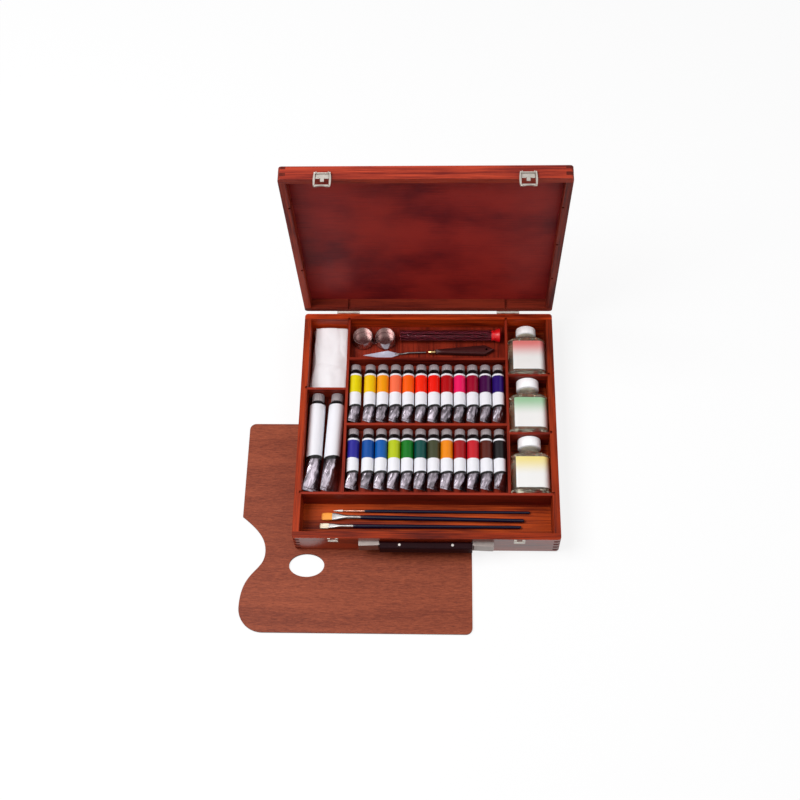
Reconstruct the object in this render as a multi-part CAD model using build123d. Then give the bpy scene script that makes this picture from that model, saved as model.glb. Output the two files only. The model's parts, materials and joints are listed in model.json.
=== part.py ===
"""Wooden oil paint set box, laid out with its paints, bottles, tools and palette.

The case is one finger-jointed box that was grooved for its dividers and then sawn apart
into a base and a shallower lid. Sizes are millimetres. Every piece is first placed in case
coordinates: X to the right, Y to the back, Z up, with the origin at the centre of the
underside of the case. The whole set then moves so that its origin is the centre of its
footprint on the table.
"""
import os
from collections import namedtuple
from math import cos, radians, sin

from build123d import *

# Case
base_height = 50.0
lid_height = 22.0
wall = 10.5
corner_radius = 5.0
edge_radius = 1.5
finger_height = 5.5
lid_open_angle = 86.5
rim_clearance = 0.3

# Panels let into grooves in the walls
bottom_thickness = 4.0
bottom_recess = 2.5
lid_panel_thickness = 3.5
lid_panel_recess = 1.5
panel_groove_depth = 5.0

# Dividers
divider_thickness = 4.0
divider_below_rim = 4.0
wall_groove_depth = 3.5
housing_depth = 1.2
left_bay_width = 61.0
right_bay_width = 62.6
knife_bay_length = 69.0
cloth_bay_length = 124.0
brush_tray_length = 62.4
raised_floor_height = 17.5
raised_floor_thickness = 3.0
batten_width = 10.0
batten_count = 3
tube_shelf_height = 6.5
tube_shelf_battens = 2

# Hinges
hinge_spacing = 262.0
hinge_width = 37.0
hinge_leaf_length = 14.0
hinge_leaf_thickness = 1.2
hinge_axis_out = 3.25
hinge_barrel_radius = 3.0
hinge_pin_radius = 1.4
knuckle_count = 5
stop_nib_width = 1.4
stop_nib_length = 1.4

# Latches
latch_spacing = 281.0
latch_plate_width = 18.0
latch_plate_bottom = 1.2
latch_plate_thickness = 1.0
latch_pivot_height = 8.7
latch_pivot_out = 2.2
latch_pin_radius = 0.9
latch_boss_radius = 1.7
latch_frame_width = 25.0
latch_frame_end_width = 23.0
latch_frame_opening = 19.4
latch_frame_drop = 13.4
latch_frame_thickness = 1.6
latch_frame_out = 1.4
finger_bar_height = 2.4
finger_bar_thickness = 2.6
finger_ball_radius = 1.6
latch_tongue_width = 5.2
latch_tongue_drop = 4.4
keeper_width = 17.0
keeper_height = 14.5
keeper_top_drop = 0.8
keeper_slot_width = 8.0
keeper_bar_radius = 1.4

# Carrying handle
handle_length = 204.0
bracket_length = 31.0
handle_height = 20.0
handle_below_rim = 9.0
bracket_depth_outer = 8.4
bracket_depth_inner = 7.2
bracket_sheet = 1.0
grip_depth = 11.0
grip_edge_radius = 3.0
grip_end_gap = 1.0
handle_pivot_out = 3.8
handle_pivot_below_top = 3.2
handle_pin_radius = 1.5
handle_pin_head_radius = 2.0
handle_pin_head_length = 1.5
grip_belly_share = 2.2
grip_rivet_spacing = 80.0
grip_rivet_radius = 2.0
grip_rivet_height = 0.6

# Palette
palette_thickness = 3.0
palette_width = 357.0
palette_length = 345.0
palette_left = -287.0
palette_front = -327.0
palette_corner_radius = 10.0
palette_heel_radius = 38.0
palette_heel_inset = 4.0
bite_depth = 39.0
bite_length = 146.0
bite_deepest = 58.0
thumb_hole_width = 54.0
thumb_hole_length = 37.0
thumb_hole_from_left = 104.0
thumb_hole_from_front = 105.4

# Paint tubes
tube_count = 12
tube_pitch = 20.6
tube_first_gap = 2.9
tube_row_left = 11.0
tube_row_right = 11.9
tube_row_slack = 12.8
back_row_start = 6.3
front_row_start = 3.5
tube_diameter = 19.2
tube_length = 101.0
tube_cap_length = 9.5
tube_cap_radius = 8.1
tube_cap_chamfer = 0.8
tube_shoulder_length = 4.0
tube_neck_inset = 1.0
tube_crimp_width = 23.5
tube_crimp_thickness = 1.4
tube_crimp_length = 5.0
tube_round_share = 0.72
tube_crimp_turn = -35.0
large_tube_diameter = 25.2
large_tube_length = 168.0
large_tube_cap_length = 13.0
large_tube_cap_radius = 9.8
large_tube_crimp_width = 31.0
large_tube_round_share = 0.66
large_tube_pitch = 31.0
large_tube_shift = 1.4
large_tube_swings = {-1: 1.2, 1: 2.5}

# Bottles of medium, lying down
Bottle = namedtuple("Bottle", "cap_radius cap_length neck_length")
bottles = {
    "bottle_back": Bottle(cap_radius=16.2, cap_length=13.0, neck_length=5.5),
    "bottle_middle": Bottle(cap_radius=18.0, cap_length=16.0, neck_length=8.5),
    "bottle_front": Bottle(cap_radius=18.0, cap_length=16.0, neck_length=8.5),
}
bottle_width = 60.0
bottle_thickness = 36.5
bottle_body_length = 57.5
bottle_shoulder_length = 8.0
bottle_corner_radius = 13.0
bottle_foot_radius = 2.1
bottle_neck_radius = 13.5
bottle_foot_gap = 8.0
bottle_cap_ribs = 24
bottle_rib_depth = 0.7

# Double dipper
dipper_pitch = 36.5
dipper_mouth_radius = 16.0
dipper_foot_radius = 17.1
dipper_height = 17.3
dipper_sheet = 0.8
dipper_left = 20.5
dipper_from_back = 26.5
dipper_clip_width = 12.0

# Charcoal tube
charcoal_radius = 9.5
charcoal_length = 152.0
charcoal_left = 79.0
charcoal_from_back = 22.0
stopper_length = 14.0
stopper_radius = 11.3
stopper_flare_share = 0.7

# Painting knife
knife_left = 21.0
knife_from_front = 15.2
knife_swing = 2.1
blade_length = 58.0
blade_width = 15.0
blade_thickness = 0.8
blade_widest = 41.0
shank_length = 49.0
shank_radius = 1.5
shank_rise = 7.5
knife_ferrule_length = 11.0
knife_ferrule_radius = 3.6
knife_handle_length = 97.0
knife_handle_width = 18.4
knife_handle_thickness = 9.0
knife_handle_point = 15.5
knife_hole_radius = 2.0
knife_hole_from_end = 13.0

# Brushes
Brush = namedtuple(
    "Brush", "tip_x from_divider swing hair ferrule handle width thickness radius end_radius"
)
brushes = {
    "fine_round_brush": Brush(
        tip_x=47.0,
        from_divider=12.5,
        swing=0.2,
        hair=15.0,
        ferrule=34.0,
        handle=256.0,
        width=3.2,
        thickness=3.2,
        radius=2.6,
        end_radius=2.1,
    ),
    "wide_flat_brush": Brush(
        tip_x=29.0,
        from_divider=22.5,
        swing=0.9,
        hair=17.0,
        ferrule=44.0,
        handle=253.0,
        width=12.5,
        thickness=4.0,
        radius=3.8,
        end_radius=2.8,
    ),
    "narrow_flat_brush": Brush(
        tip_x=27.0,
        from_divider=38.0,
        swing=0.0,
        hair=14.0,
        ferrule=38.0,
        handle=259.0,
        width=8.5,
        thickness=3.6,
        radius=3.35,
        end_radius=2.3,
    ),
}
brush_neck_share = 0.85
brush_belly_place = 0.14
ferrule_crimp_share = 0.45
ferrule_ridge_places = (0.35, 0.6)
ferrule_ridge_height = 0.25
ferrule_ridge_width = 0.8

# Cloth, folded in layers
cloth_width = 58.0
cloth_length = 113.0
cloth_layers = 4
cloth_layer_thickness = 5.2
cloth_layer_gap = 0.6
cloth_from_back = 3.3

# Clearances
fit_gap = 0.1
seat_gap = 0.2
running_gap = 0.06
side_gap = 0.8

# Sizes that follow from the contents
tube_bay_length = tube_length + tube_row_slack
centre_bay_width = tube_row_left + (tube_count - 1) * tube_pitch + tube_first_gap + tube_row_right
case_width = 2 * wall + left_bay_width + centre_bay_width + right_bay_width + 2 * divider_thickness
case_depth = 2 * wall + knife_bay_length + 2 * tube_bay_length + brush_tray_length + 3 * divider_thickness

# Places that follow from the sizes
inner_x = case_width / 2 - wall
inner_y = case_depth / 2 - wall
front_face = -case_depth / 2
back_face = case_depth / 2
floor_top = bottom_recess + bottom_thickness
divider_top = base_height - divider_below_rim
raised_top = floor_top + raised_floor_height
centre_left = left_bay_width - inner_x + divider_thickness
centre_right = inner_x - right_bay_width - divider_thickness
long_divider_xs = {-1: centre_left - divider_thickness / 2, 1: centre_right + divider_thickness / 2}
knife_divider_y = inner_y - knife_bay_length - divider_thickness / 2
middle_divider_y = knife_divider_y - tube_bay_length - divider_thickness
front_divider_y = middle_divider_y - tube_bay_length - divider_thickness
cloth_divider_y = inner_y - cloth_bay_length - divider_thickness / 2
bay_front = front_divider_y + divider_thickness / 2
bottle_pitch = (inner_y - bay_front + divider_thickness) / len(bottles)
bottle_divider_ys = [
    inner_y + divider_thickness / 2 - i * bottle_pitch
    for i in range(1, len(bottles))
]
left_bay_centre = left_bay_width / 2 - inner_x
right_bay_centre = inner_x - right_bay_width / 2
hinge_y = back_face + hinge_axis_out
hinge_z = base_height + rim_clearance / 2
lid_bottom = base_height + rim_clearance
lid_top = lid_bottom + lid_height
lid_inside = lid_top - lid_panel_recess - lid_panel_thickness
hinge_axis = Axis((0, hinge_y, hinge_z), (-1, 0, 0))
handle_top = base_height - handle_below_rim
handle_pivot_z = handle_top - handle_pivot_below_top


# Basic shapes


def block(x0, x1, y0, y1, z0, z1):
    """A rectangular block between two opposite corners."""
    return Pos((x0 + x1) / 2, (y0 + y1) / 2, (z0 + z1) / 2) * Box(x1 - x0, y1 - y0, z1 - z0)


def turned(profile):
    """A turned solid about Z from (radius, height) points, closed along its axis."""
    outline = Polyline(*profile, close=True)
    return revolve(Plane.XZ * make_face(outline), Axis.Z)


def rod_x(radius, x0, x1, y, z):
    """A round rod along X."""
    return Pos((x0 + x1) / 2, y, z) * Rot(0, 90, 0) * Cylinder(radius, x1 - x0)


def near_round(radius):
    """A circle drawn as a rounded square, so that it lofts evenly to a rounded rectangle."""
    return RectangleRounded(2 * radius, 2 * radius, 0.98 * radius)


def along_x(shape, x, y, z):
    """Lays a solid made along Z down along +X, with its base at the point given."""
    return Pos(x, y, z) * Rot(0, 90, 0) * shape


def along_y(shape, x, y, z):
    """Lays a solid made along Z down along -Y, with its base at the point given."""
    return Pos(x, y, z) * Rot(90, 0, 0) * shape


def pair(make, spacing):
    """Two like solids, left and right of the middle of the case."""
    return [make(-spacing / 2), make(spacing / 2)]


def opened(shape):
    """Turns a piece of the closed lid to the open position."""
    return shape.rotate(hinge_axis, lid_open_angle)


# Case: four finger-jointed walls for each half


def case_block(z0, z1, rounded_end):
    """The outside of one half of the case, with rounded corners and one rounded end."""
    solid = Pos(0, 0, z0) * extrude(RectangleRounded(case_width, case_depth, corner_radius), z1 - z0)
    ends = solid.edges().group_by(Axis.Z)
    return fillet(ends[rounded_end], edge_radius)


def corner_fingers(z0, z1, parity):
    """Every other finger at the four corners, as blocks to cut from one pair of walls."""
    count = max(3, round((z1 - z0) / finger_height))
    pitch = (z1 - z0) / count
    cuts = []
    for i in range(parity, count, 2):
        for side_x in (-1, 1):
            for side_y in (-1, 1):
                x = side_x * (case_width / 2 - wall / 2)
                y = side_y * (case_depth / 2 - wall / 2)
                cuts.append(Pos(x, y, z0 + (i + 0.5) * pitch) * Box(wall, wall, pitch))
    return cuts


def divider_grooves(z0, z1):
    """The grooves for the dividers that run up the inside of the four walls."""
    half = divider_thickness / 2 + fit_gap
    reach = wall_groove_depth
    cuts = [block(-inner_x - reach, inner_x + reach, front_divider_y - half, front_divider_y + half, z0, z1)]
    cuts.append(block(-inner_x - reach, -inner_x, cloth_divider_y - half, cloth_divider_y + half, z0, z1))
    for y in bottle_divider_ys:
        cuts.append(block(inner_x, inner_x + reach, y - half, y + half, z0, z1))
    for x in long_divider_xs.values():
        cuts.append(block(x - half, x + half, inner_y, inner_y + reach, z0, z1))
    return cuts


def panel_slot(z0, z1):
    """The groove round the inside of the walls that holds a panel."""
    x = inner_x + panel_groove_depth
    y = inner_y + panel_groove_depth
    return block(-x, x, -y, y, z0, z1)


def case_walls(z0, z1, rounded_end, panel_z0, panel_z1, groove_z0, groove_z1):
    """Front, back, left and right wall of one half of the case."""
    outside = case_block(z0, z1, rounded_end)
    cuts = divider_grooves(groove_z0, groove_z1) + [panel_slot(panel_z0, panel_z1)]
    half_x = case_width / 2
    half_y = case_depth / 2
    slabs = {
        "front_wall": (block(-half_x, half_x, -half_y, -inner_y, z0, z1), 1),
        "back_wall": (block(-half_x, half_x, inner_y, half_y, z0, z1), 1),
        "left_wall": (block(-half_x, -inner_x, -half_y, half_y, z0, z1), 0),
        "right_wall": (block(inner_x, half_x, -half_y, half_y, z0, z1), 0),
    }
    walls = {}
    for name, (slab, parity) in slabs.items():
        walls[name] = (slab & outside) - (corner_fingers(z0, z1, parity) + cuts)
    return walls


def panel(z0, z1):
    """A thin panel seated in its groove."""
    x = inner_x + panel_groove_depth - fit_gap
    y = inner_y + panel_groove_depth - fit_gap
    return block(-x, x, -y, y, z0 + fit_gap / 2, z1 - fit_gap / 2)


# Dividers and the raised floor under the middle


def front_divider():
    """The full-width divider behind the brush tray, with housings for the long dividers."""
    reach = inner_x + wall_groove_depth - fit_gap
    back = front_divider_y + divider_thickness / 2
    board = block(-reach, reach, back - divider_thickness, back, floor_top, divider_top)
    half = divider_thickness / 2 + fit_gap
    for x in long_divider_xs.values():
        board -= block(x - half, x + half, back - housing_depth, back, floor_top, divider_top)
    return board


def long_divider(side):
    """A divider from the back wall to the front divider, housed for the cross dividers."""
    x = long_divider_xs[side]
    half = divider_thickness / 2
    y0 = bay_front - housing_depth + fit_gap
    y1 = inner_y + wall_groove_depth - fit_gap
    board = block(x - half, x + half, y0, y1, floor_top, divider_top)
    inner = x - side * half
    outer = x + side * half
    outside_ys = [cloth_divider_y] if side < 0 else bottle_divider_ys
    for face, inward, ys, z0 in (
        (inner, side, (knife_divider_y, middle_divider_y), raised_top),
        (outer, -side, outside_ys, floor_top),
    ):
        x0, x1 = sorted((face, face + inward * housing_depth))
        for y in ys:
            board -= block(x0, x1, y - half - fit_gap, y + half + fit_gap, z0, divider_top)
    return board


def cross_dividers():
    """The short dividers: two on the raised floor, one by the cloth and the rest by the bottles."""
    half = divider_thickness / 2
    into_long = housing_depth - fit_gap
    into_wall = inner_x + wall_groove_depth - fit_gap
    spans = [
        (centre_left - into_long, centre_right + into_long, y, raised_top)
        for y in (knife_divider_y, middle_divider_y)
    ]
    spans.append((-into_wall, long_divider_xs[-1] - half + into_long, cloth_divider_y, floor_top))
    for y in bottle_divider_ys:
        spans.append((long_divider_xs[1] + half - into_long, into_wall, y, floor_top))
    return [block(x0, x1, y - half, y + half, z0, divider_top) for x0, x1, y, z0 in spans]


def shelf(x0, x1, y0, y1, top, battens):
    """A floor board between dividers, and the battens that carry it."""
    x0, x1, y0, y1 = x0 + fit_gap, x1 - fit_gap, y0 + fit_gap, y1 - fit_gap
    board_bottom = top - raised_floor_thickness
    pieces = [block(x0, x1, y0, y1, board_bottom, top)]
    step = (x1 - x0 - batten_width) / (battens - 1)
    for i in range(battens):
        left = x0 + i * step
        pieces.append(block(left, left + batten_width, y0, y1, floor_top, board_bottom))
    return pieces


def raised_floor():
    """The floor under the small tubes and tools, and a lower one under the large tubes."""
    shelf_back = cloth_divider_y - divider_thickness / 2
    shelf_right = centre_left - divider_thickness
    return shelf(centre_left, centre_right, bay_front, inner_y, raised_top, batten_count) + shelf(
        -inner_x, shelf_right, bay_front, shelf_back, floor_top + tube_shelf_height, tube_shelf_battens
    )


# Hinges


def knuckle_span(i):
    """The ends of one knuckle along the hinge, from its left edge."""
    pitch = hinge_width / knuckle_count
    return i * pitch - hinge_width / 2 + fit_gap, (i + 1) * pitch - hinge_width / 2 - fit_gap


def hinge_leaf(x, up, knuckles):
    """One leaf of a butt hinge, closed, screwed to the back face of the case."""
    edge = hinge_barrel_radius + seat_gap
    far = hinge_z + up * hinge_leaf_length
    near = hinge_z + up * edge
    z0, z1 = sorted((near, far))
    y1 = back_face + hinge_leaf_thickness
    leaf = block(x - hinge_width / 2, x + hinge_width / 2, back_face, y1, z0, z1)
    for i in knuckles:
        a, b = knuckle_span(i)
        w0, w1 = sorted((hinge_z, near))
        leaf += block(x + a, x + b, back_face, y1, w0, w1)
        leaf += rod_x(hinge_barrel_radius, x + a, x + b, hinge_y, hinge_z)
    return leaf


def hinge_bore(x):
    """The hole for the hinge pin."""
    return rod_x(hinge_pin_radius + running_gap, x - hinge_width, x + hinge_width, hinge_y, hinge_z)


def base_leaf(x):
    """The leaf on the base, with a lip under each lid knuckle that stops the open lid."""
    leaf = hinge_leaf(x, -1, range(0, knuckle_count, 2))
    lip_top = hinge_z - hinge_barrel_radius - seat_gap
    lip_end = hinge_y - stop_nib_width / 2 - running_gap
    for i in range(1, knuckle_count, 2):
        a, b = knuckle_span(i)
        leaf += block(x + a, x + b, back_face, lip_end, lip_top - hinge_leaf_thickness, lip_top)
    return leaf - hinge_bore(x)


def lid_leaf(x):
    """The leaf on the lid, with a nib on each knuckle that meets the lip when the lid is open."""
    leaf = hinge_leaf(x, 1, range(1, knuckle_count, 2))
    reach = hinge_barrel_radius + stop_nib_length
    for i in range(1, knuckle_count, 2):
        a, b = knuckle_span(i)
        nib = block(
            x + a,
            x + b,
            hinge_y - stop_nib_width / 2,
            hinge_y + stop_nib_width / 2,
            hinge_z - reach,
            hinge_z - hinge_pin_radius,
        )
        leaf += nib.rotate(hinge_axis, -lid_open_angle)
    return leaf - hinge_bore(x)


def hinge_pin(x):
    """A hinge pin."""
    return rod_x(hinge_pin_radius, x - hinge_width / 2, x + hinge_width / 2, hinge_y, hinge_z)


# Latches: a frame swings on a plate on the lid, and its finger bar snaps under the keeper


def latch_block(x, half_width, out0, out1, low, high):
    """A block on the front face, by its distance out and its height above the rim."""
    z = lid_bottom
    return block(x - half_width, x + half_width, front_face - out1, front_face - out0, z + low, z + high)


def latch_plate(x):
    """The plate on the lid: two ears with a pin, a rolled lower edge and a tongue."""
    half = latch_plate_width / 2
    top = latch_pivot_height + latch_boss_radius
    plate = latch_block(x, half, 0, latch_plate_thickness, latch_plate_bottom, top)
    ear_out = latch_pivot_out + latch_boss_radius
    ear_low = latch_pivot_height - latch_boss_radius
    for side in (-1, 1):
        ear_x = x + side * (half - latch_plate_thickness / 2)
        plate += latch_block(ear_x, latch_plate_thickness / 2, 0, ear_out, ear_low, top)
        roll_x0, roll_x1 = sorted((x + side * half, x + side * (latch_tongue_width / 2 + side_gap)))
        plate += rod_x(
            latch_plate_thickness,
            roll_x0,
            roll_x1,
            front_face - latch_plate_thickness,
            lid_bottom + latch_plate_bottom,
        )
    reach = latch_frame_end_width / 2
    pin_z = lid_bottom + latch_pivot_height
    plate += rod_x(latch_pin_radius, x - reach, x + reach, front_face - latch_pivot_out, pin_z)
    plate += latch_block(
        x,
        latch_tongue_width / 2,
        seat_gap,
        seat_gap + latch_plate_thickness,
        -latch_tongue_drop,
        latch_plate_bottom + latch_plate_thickness,
    )
    return plate


def latch_frame(x):
    """The swinging frame: two bowed arms with bosses on the pin, and a balled finger bar below."""
    top = latch_pivot_height
    bar_low = -latch_frame_drop
    middle = (top + bar_low) / 2
    end = latch_frame_end_width / 2
    bow = latch_frame_width / 2
    outline = [
        ThreePointArc((-end, top), (-bow, middle), (-end, bar_low)),
        Line((-end, bar_low), (end, bar_low)),
        ThreePointArc((end, bar_low), (bow, middle), (end, top)),
        Line((end, top), (-end, top)),
    ]
    opening_height = top - bar_low - finger_bar_height
    opening = Pos(0, top - opening_height / 2) * Rectangle(latch_frame_opening, opening_height)
    face = make_face(Wire(outline)) - opening
    frame = extrude(Plane.XZ * face, latch_frame_thickness)
    frame = Pos(x, front_face - latch_frame_out, lid_bottom) * frame
    ball_x = end - finger_ball_radius
    frame += latch_block(
        x,
        ball_x,
        latch_frame_out,
        latch_frame_out + finger_bar_thickness,
        bar_low,
        bar_low + finger_bar_height,
    )
    pin_y = front_face - latch_pivot_out
    pin_z = lid_bottom + latch_pivot_height
    bar_y = front_face - latch_frame_out - finger_ball_radius
    bar_z = lid_bottom + bar_low + finger_bar_height / 2
    for side in (-1, 1):
        x0, x1 = sorted((x + side * latch_frame_opening / 2, x + side * end))
        frame += rod_x(latch_boss_radius, x0, x1, pin_y, pin_z)
        frame += Pos(x + side * ball_x, bar_y, bar_z) * Sphere(finger_ball_radius)
    frame -= rod_x(latch_pin_radius + running_gap, x - latch_frame_width, x + latch_frame_width, pin_y, pin_z)
    scoop_radius = latch_frame_width
    scoop = rod_y(scoop_radius, x, lid_bottom + bar_low - scoop_radius + latch_plate_thickness)
    return frame - scoop


def rod_y(radius, x, z):
    """A round rod along Y through the front of the case."""
    return Pos(x, front_face, z) * Rot(90, 0, 0) * Cylinder(radius, 4 * wall)


def keeper(x):
    """The keeper on the base: a slotted plate with a raised bar for the frame to snap under."""
    top = base_height - keeper_top_drop
    face = RectangleRounded(keeper_width, keeper_height, keeper_bar_radius)
    plate = extrude(Plane.XZ * face, latch_plate_thickness)
    plate = Pos(x, front_face, top - keeper_height / 2) * plate
    bar_z = lid_bottom - latch_frame_drop + finger_bar_height + seat_gap + keeper_bar_radius
    slot_low = bar_z + keeper_bar_radius
    half = keeper_slot_width / 2
    plate -= block(x - half, x + half, front_face - wall, front_face, slot_low, base_height)
    bar_half = keeper_width / 2 - keeper_bar_radius
    bar_y = front_face - latch_plate_thickness
    bar = rod_x(keeper_bar_radius, x - bar_half, x + bar_half, bar_y, bar_z)
    return plate + (bar & block(x - bar_half, x + bar_half, bar_y - wall, front_face, 0, base_height))


# Handle


def handle_bracket(x):
    """A bright sheet cap on the front face, deeper at its outer end, with a hole for the pin."""
    side = 1 if x > 0 else -1
    inner = side * (handle_length / 2 - bracket_length)
    outer = side * handle_length / 2

    def cap(inset, low, high):
        points = [
            (inner + side * inset, front_face + inset),
            (outer - side * inset, front_face + inset),
            (outer - side * inset, front_face - bracket_depth_outer + inset),
            (inner + side * inset, front_face - bracket_depth_inner + inset),
        ]
        face = make_face(Polyline(*points, close=True))
        return Pos(0, 0, low) * extrude(face, high - low)

    low = handle_top - handle_height
    body = cap(0, low, handle_top)
    front_edges = body.edges().filter_by(Axis.Z).sort_by(Axis.Y)[:2]
    body = fillet(front_edges, 1.5 * bracket_sheet)
    body -= cap(bracket_sheet, low + bracket_sheet, handle_top - bracket_sheet)
    bore_half = handle_pin_radius + running_gap
    x0, x1 = sorted((inner - side * grip_end_gap, inner + side * 2 * bracket_sheet))
    return body - rod_x(bore_half, x0, x1, front_face - handle_pivot_out, handle_pivot_z)


def handle_grip():
    """The moulded grip, hollowed for the fingers, with a steel pin at each end and two rivets."""
    half = handle_length / 2 - bracket_length - grip_end_gap
    centre_y = front_face - grip_end_gap - grip_depth / 2
    centre_z = handle_top - handle_height / 2
    section = Plane.YZ * RectangleRounded(grip_depth, handle_height, grip_edge_radius)
    bar = Pos(-half, centre_y, centre_z) * extrude(section, 2 * half)
    finger_radius = grip_belly_share * half
    relief = Pos(0, centre_y, handle_top - handle_height - finger_radius + grip_edge_radius / 2)
    bar -= relief * Rot(90, 0, 0) * Cylinder(finger_radius, 2 * grip_depth)
    pieces = [bar]
    for side in (-1, 1):
        shaft_end = half + grip_end_gap + bracket_sheet + seat_gap
        head_end = shaft_end + handle_pin_head_length
        y = front_face - handle_pivot_out
        x0, x1 = sorted((side * half, side * (shaft_end + seat_gap)))
        shaft = rod_x(handle_pin_radius, x0, x1, y, handle_pivot_z)
        h0, h1 = sorted((side * shaft_end, side * head_end))
        pieces.append(shaft + rod_x(handle_pin_head_radius, h0, h1, y, handle_pivot_z))
        rivet = Pos(side * grip_rivet_spacing / 2, centre_y, handle_top + grip_rivet_height / 2)
        pieces.append(rivet * Cylinder(grip_rivet_radius, grip_rivet_height))
    return pieces


# Palette


def palette():
    """A plywood palette with a bite for the fingers and an oval thumb hole."""
    left = palette_left
    right = left + palette_width
    front = palette_front
    back = front + palette_length
    bite_back = front + palette_heel_radius + bite_length
    corner = palette_corner_radius
    heel = palette_heel_radius
    heel_left = left + palette_heel_inset
    outline = [
        Line((left, bite_back), (left, back - corner)),
        RadiusArc((left, back - corner), (left + corner, back), corner),
        Line((left + corner, back), (right - corner, back)),
        RadiusArc((right - corner, back), (right, back - corner), corner),
        Line((right, back - corner), (right, front + corner)),
        RadiusArc((right, front + corner), (right - corner, front), corner),
        Line((right - corner, front), (heel_left + heel, front)),
        RadiusArc((heel_left + heel, front), (heel_left, front + heel), heel),
        Spline(
            (heel_left, front + heel),
            (left + bite_depth, bite_back - bite_deepest),
            (left, bite_back),
            tangents=[(0, 1), (0, 1), (-1, 0.8)],
        ),
    ]
    board = extrude(make_face(Wire(outline)), palette_thickness)
    hole_x = left + thumb_hole_from_left
    hole_y = front + thumb_hole_from_front
    hole = extrude(Ellipse(thumb_hole_width / 2, thumb_hole_length / 2), palette_thickness)
    return Pos(0, 0, -palette_thickness) * (board - Pos(hole_x, hole_y) * hole)


# Paint tubes


def paint_tube(diameter, length, cap_length, cap_radius, crimp_width, round_share, turn):
    """A collapsible tube and its cap, along Z with the cap at the bottom."""
    radius = diameter / 2
    cap = turned(
        [
            (0, 0),
            (cap_radius - tube_cap_chamfer, 0),
            (cap_radius, tube_cap_chamfer),
            (cap_radius, cap_length),
            (0, cap_length),
        ]
    )
    shoulder_top = cap_length + tube_shoulder_length
    round_end = cap_length + round_share * (length - cap_length)
    crimp_start = length - tube_crimp_length
    barrel = turned(
        [
            (0, cap_length),
            (cap_radius - tube_neck_inset, cap_length),
            (radius, shoulder_top),
            (radius, round_end),
            (0, round_end),
        ]
    )
    flat = Ellipse(crimp_width / 2, tube_crimp_thickness / 2)
    taper = loft([Pos(0, 0, round_end) * Circle(radius), Pos(0, 0, crimp_start) * flat])
    crimp = Pos(0, 0, crimp_start) * extrude(flat, tube_crimp_length)
    body = barrel + taper + crimp
    return [Rot(0, 0, turn) * cap, Rot(0, 0, turn) * body]


def small_tube(x, cap_y):
    """A small paint tube on the raised floor, its cap towards the back."""
    z = raised_top + seat_gap + tube_diameter / 2
    solids = paint_tube(
        tube_diameter,
        tube_length,
        tube_cap_length,
        tube_cap_radius,
        tube_crimp_width,
        tube_round_share,
        tube_crimp_turn,
    )
    return [along_y(solid, x, cap_y, z) for solid in solids]


def tube_row_x(i):
    """Where the tubes of a row lie between the long dividers."""
    first = centre_left + tube_row_left
    return first + i * tube_pitch + (tube_first_gap if i else 0)


def large_tube(side):
    """One of the two large tubes on the shelf in the left bay, each at its own slant."""
    z = floor_top + tube_shelf_height + seat_gap + large_tube_diameter / 2
    cap_y = cloth_divider_y - divider_thickness / 2 - side_gap
    solids = paint_tube(
        large_tube_diameter,
        large_tube_length,
        large_tube_cap_length,
        large_tube_cap_radius,
        large_tube_crimp_width,
        large_tube_round_share,
        tube_crimp_turn,
    )
    x = left_bay_centre + large_tube_shift + side * large_tube_pitch / 2
    place = Pos(x, cap_y, z) * Rot(0, 0, -large_tube_swings[side])
    return [place * along_y(solid, 0, 0, 0) for solid in solids]


# Bottles


def bottle(form, bay_back):
    """A flat-sided bottle lying on its back, with a ribbed cap."""
    upright = (Align.CENTER, Align.CENTER, Align.MIN)
    cap = Cylinder(form.cap_radius, form.cap_length, align=upright)
    groove = Cylinder(bottle_rib_depth, form.cap_length, align=upright)
    for i in range(bottle_cap_ribs):
        turn = Rot(0, 0, i * 360 / bottle_cap_ribs)
        cap -= turn * Pos(form.cap_radius, 0, -2 * bottle_rib_depth) * groove
    neck = Pos(0, 0, form.cap_length) * Cylinder(bottle_neck_radius, form.neck_length, align=upright)
    neck_end = form.cap_length + form.neck_length
    shoulder_end = neck_end + bottle_shoulder_length
    section = RectangleRounded(bottle_width, bottle_thickness, bottle_corner_radius)
    shoulder = loft([Pos(0, 0, neck_end) * near_round(bottle_neck_radius), Pos(0, 0, shoulder_end) * section])
    body = Pos(0, 0, shoulder_end) * extrude(section, bottle_body_length)
    body = fillet(body.faces().sort_by(Axis.Z)[-1].edges(), bottle_foot_radius)
    glass = neck + shoulder + body
    foot_y = bay_back - bottle_pitch + divider_thickness + bottle_foot_gap
    cap_y = foot_y + shoulder_end + bottle_body_length
    z = floor_top + seat_gap + bottle_thickness / 2
    return [along_y(solid, right_bay_centre, cap_y, z) for solid in (cap, glass)]


# Tools in the knife bay


def double_dipper():
    """Two open oil cups on one clip plate."""
    profile = [
        (0, dipper_sheet),
        (dipper_foot_radius, dipper_sheet),
        (dipper_foot_radius, 3 * dipper_sheet),
        (dipper_mouth_radius, dipper_height),
        (dipper_mouth_radius - dipper_sheet, dipper_height),
        (dipper_foot_radius - 2 * dipper_sheet, 3 * dipper_sheet),
        (0, 3 * dipper_sheet),
    ]
    cup = turned(profile)
    x = centre_left + dipper_left
    y = inner_y - dipper_from_back
    plate = block(
        x,
        x + dipper_pitch,
        y - dipper_clip_width / 2,
        y + dipper_clip_width / 2,
        raised_top,
        raised_top + dipper_sheet,
    )
    cups = [Pos(x + i * dipper_pitch, y, raised_top) * cup for i in range(2)]
    return [cups[0] + plate + cups[1]]


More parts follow.
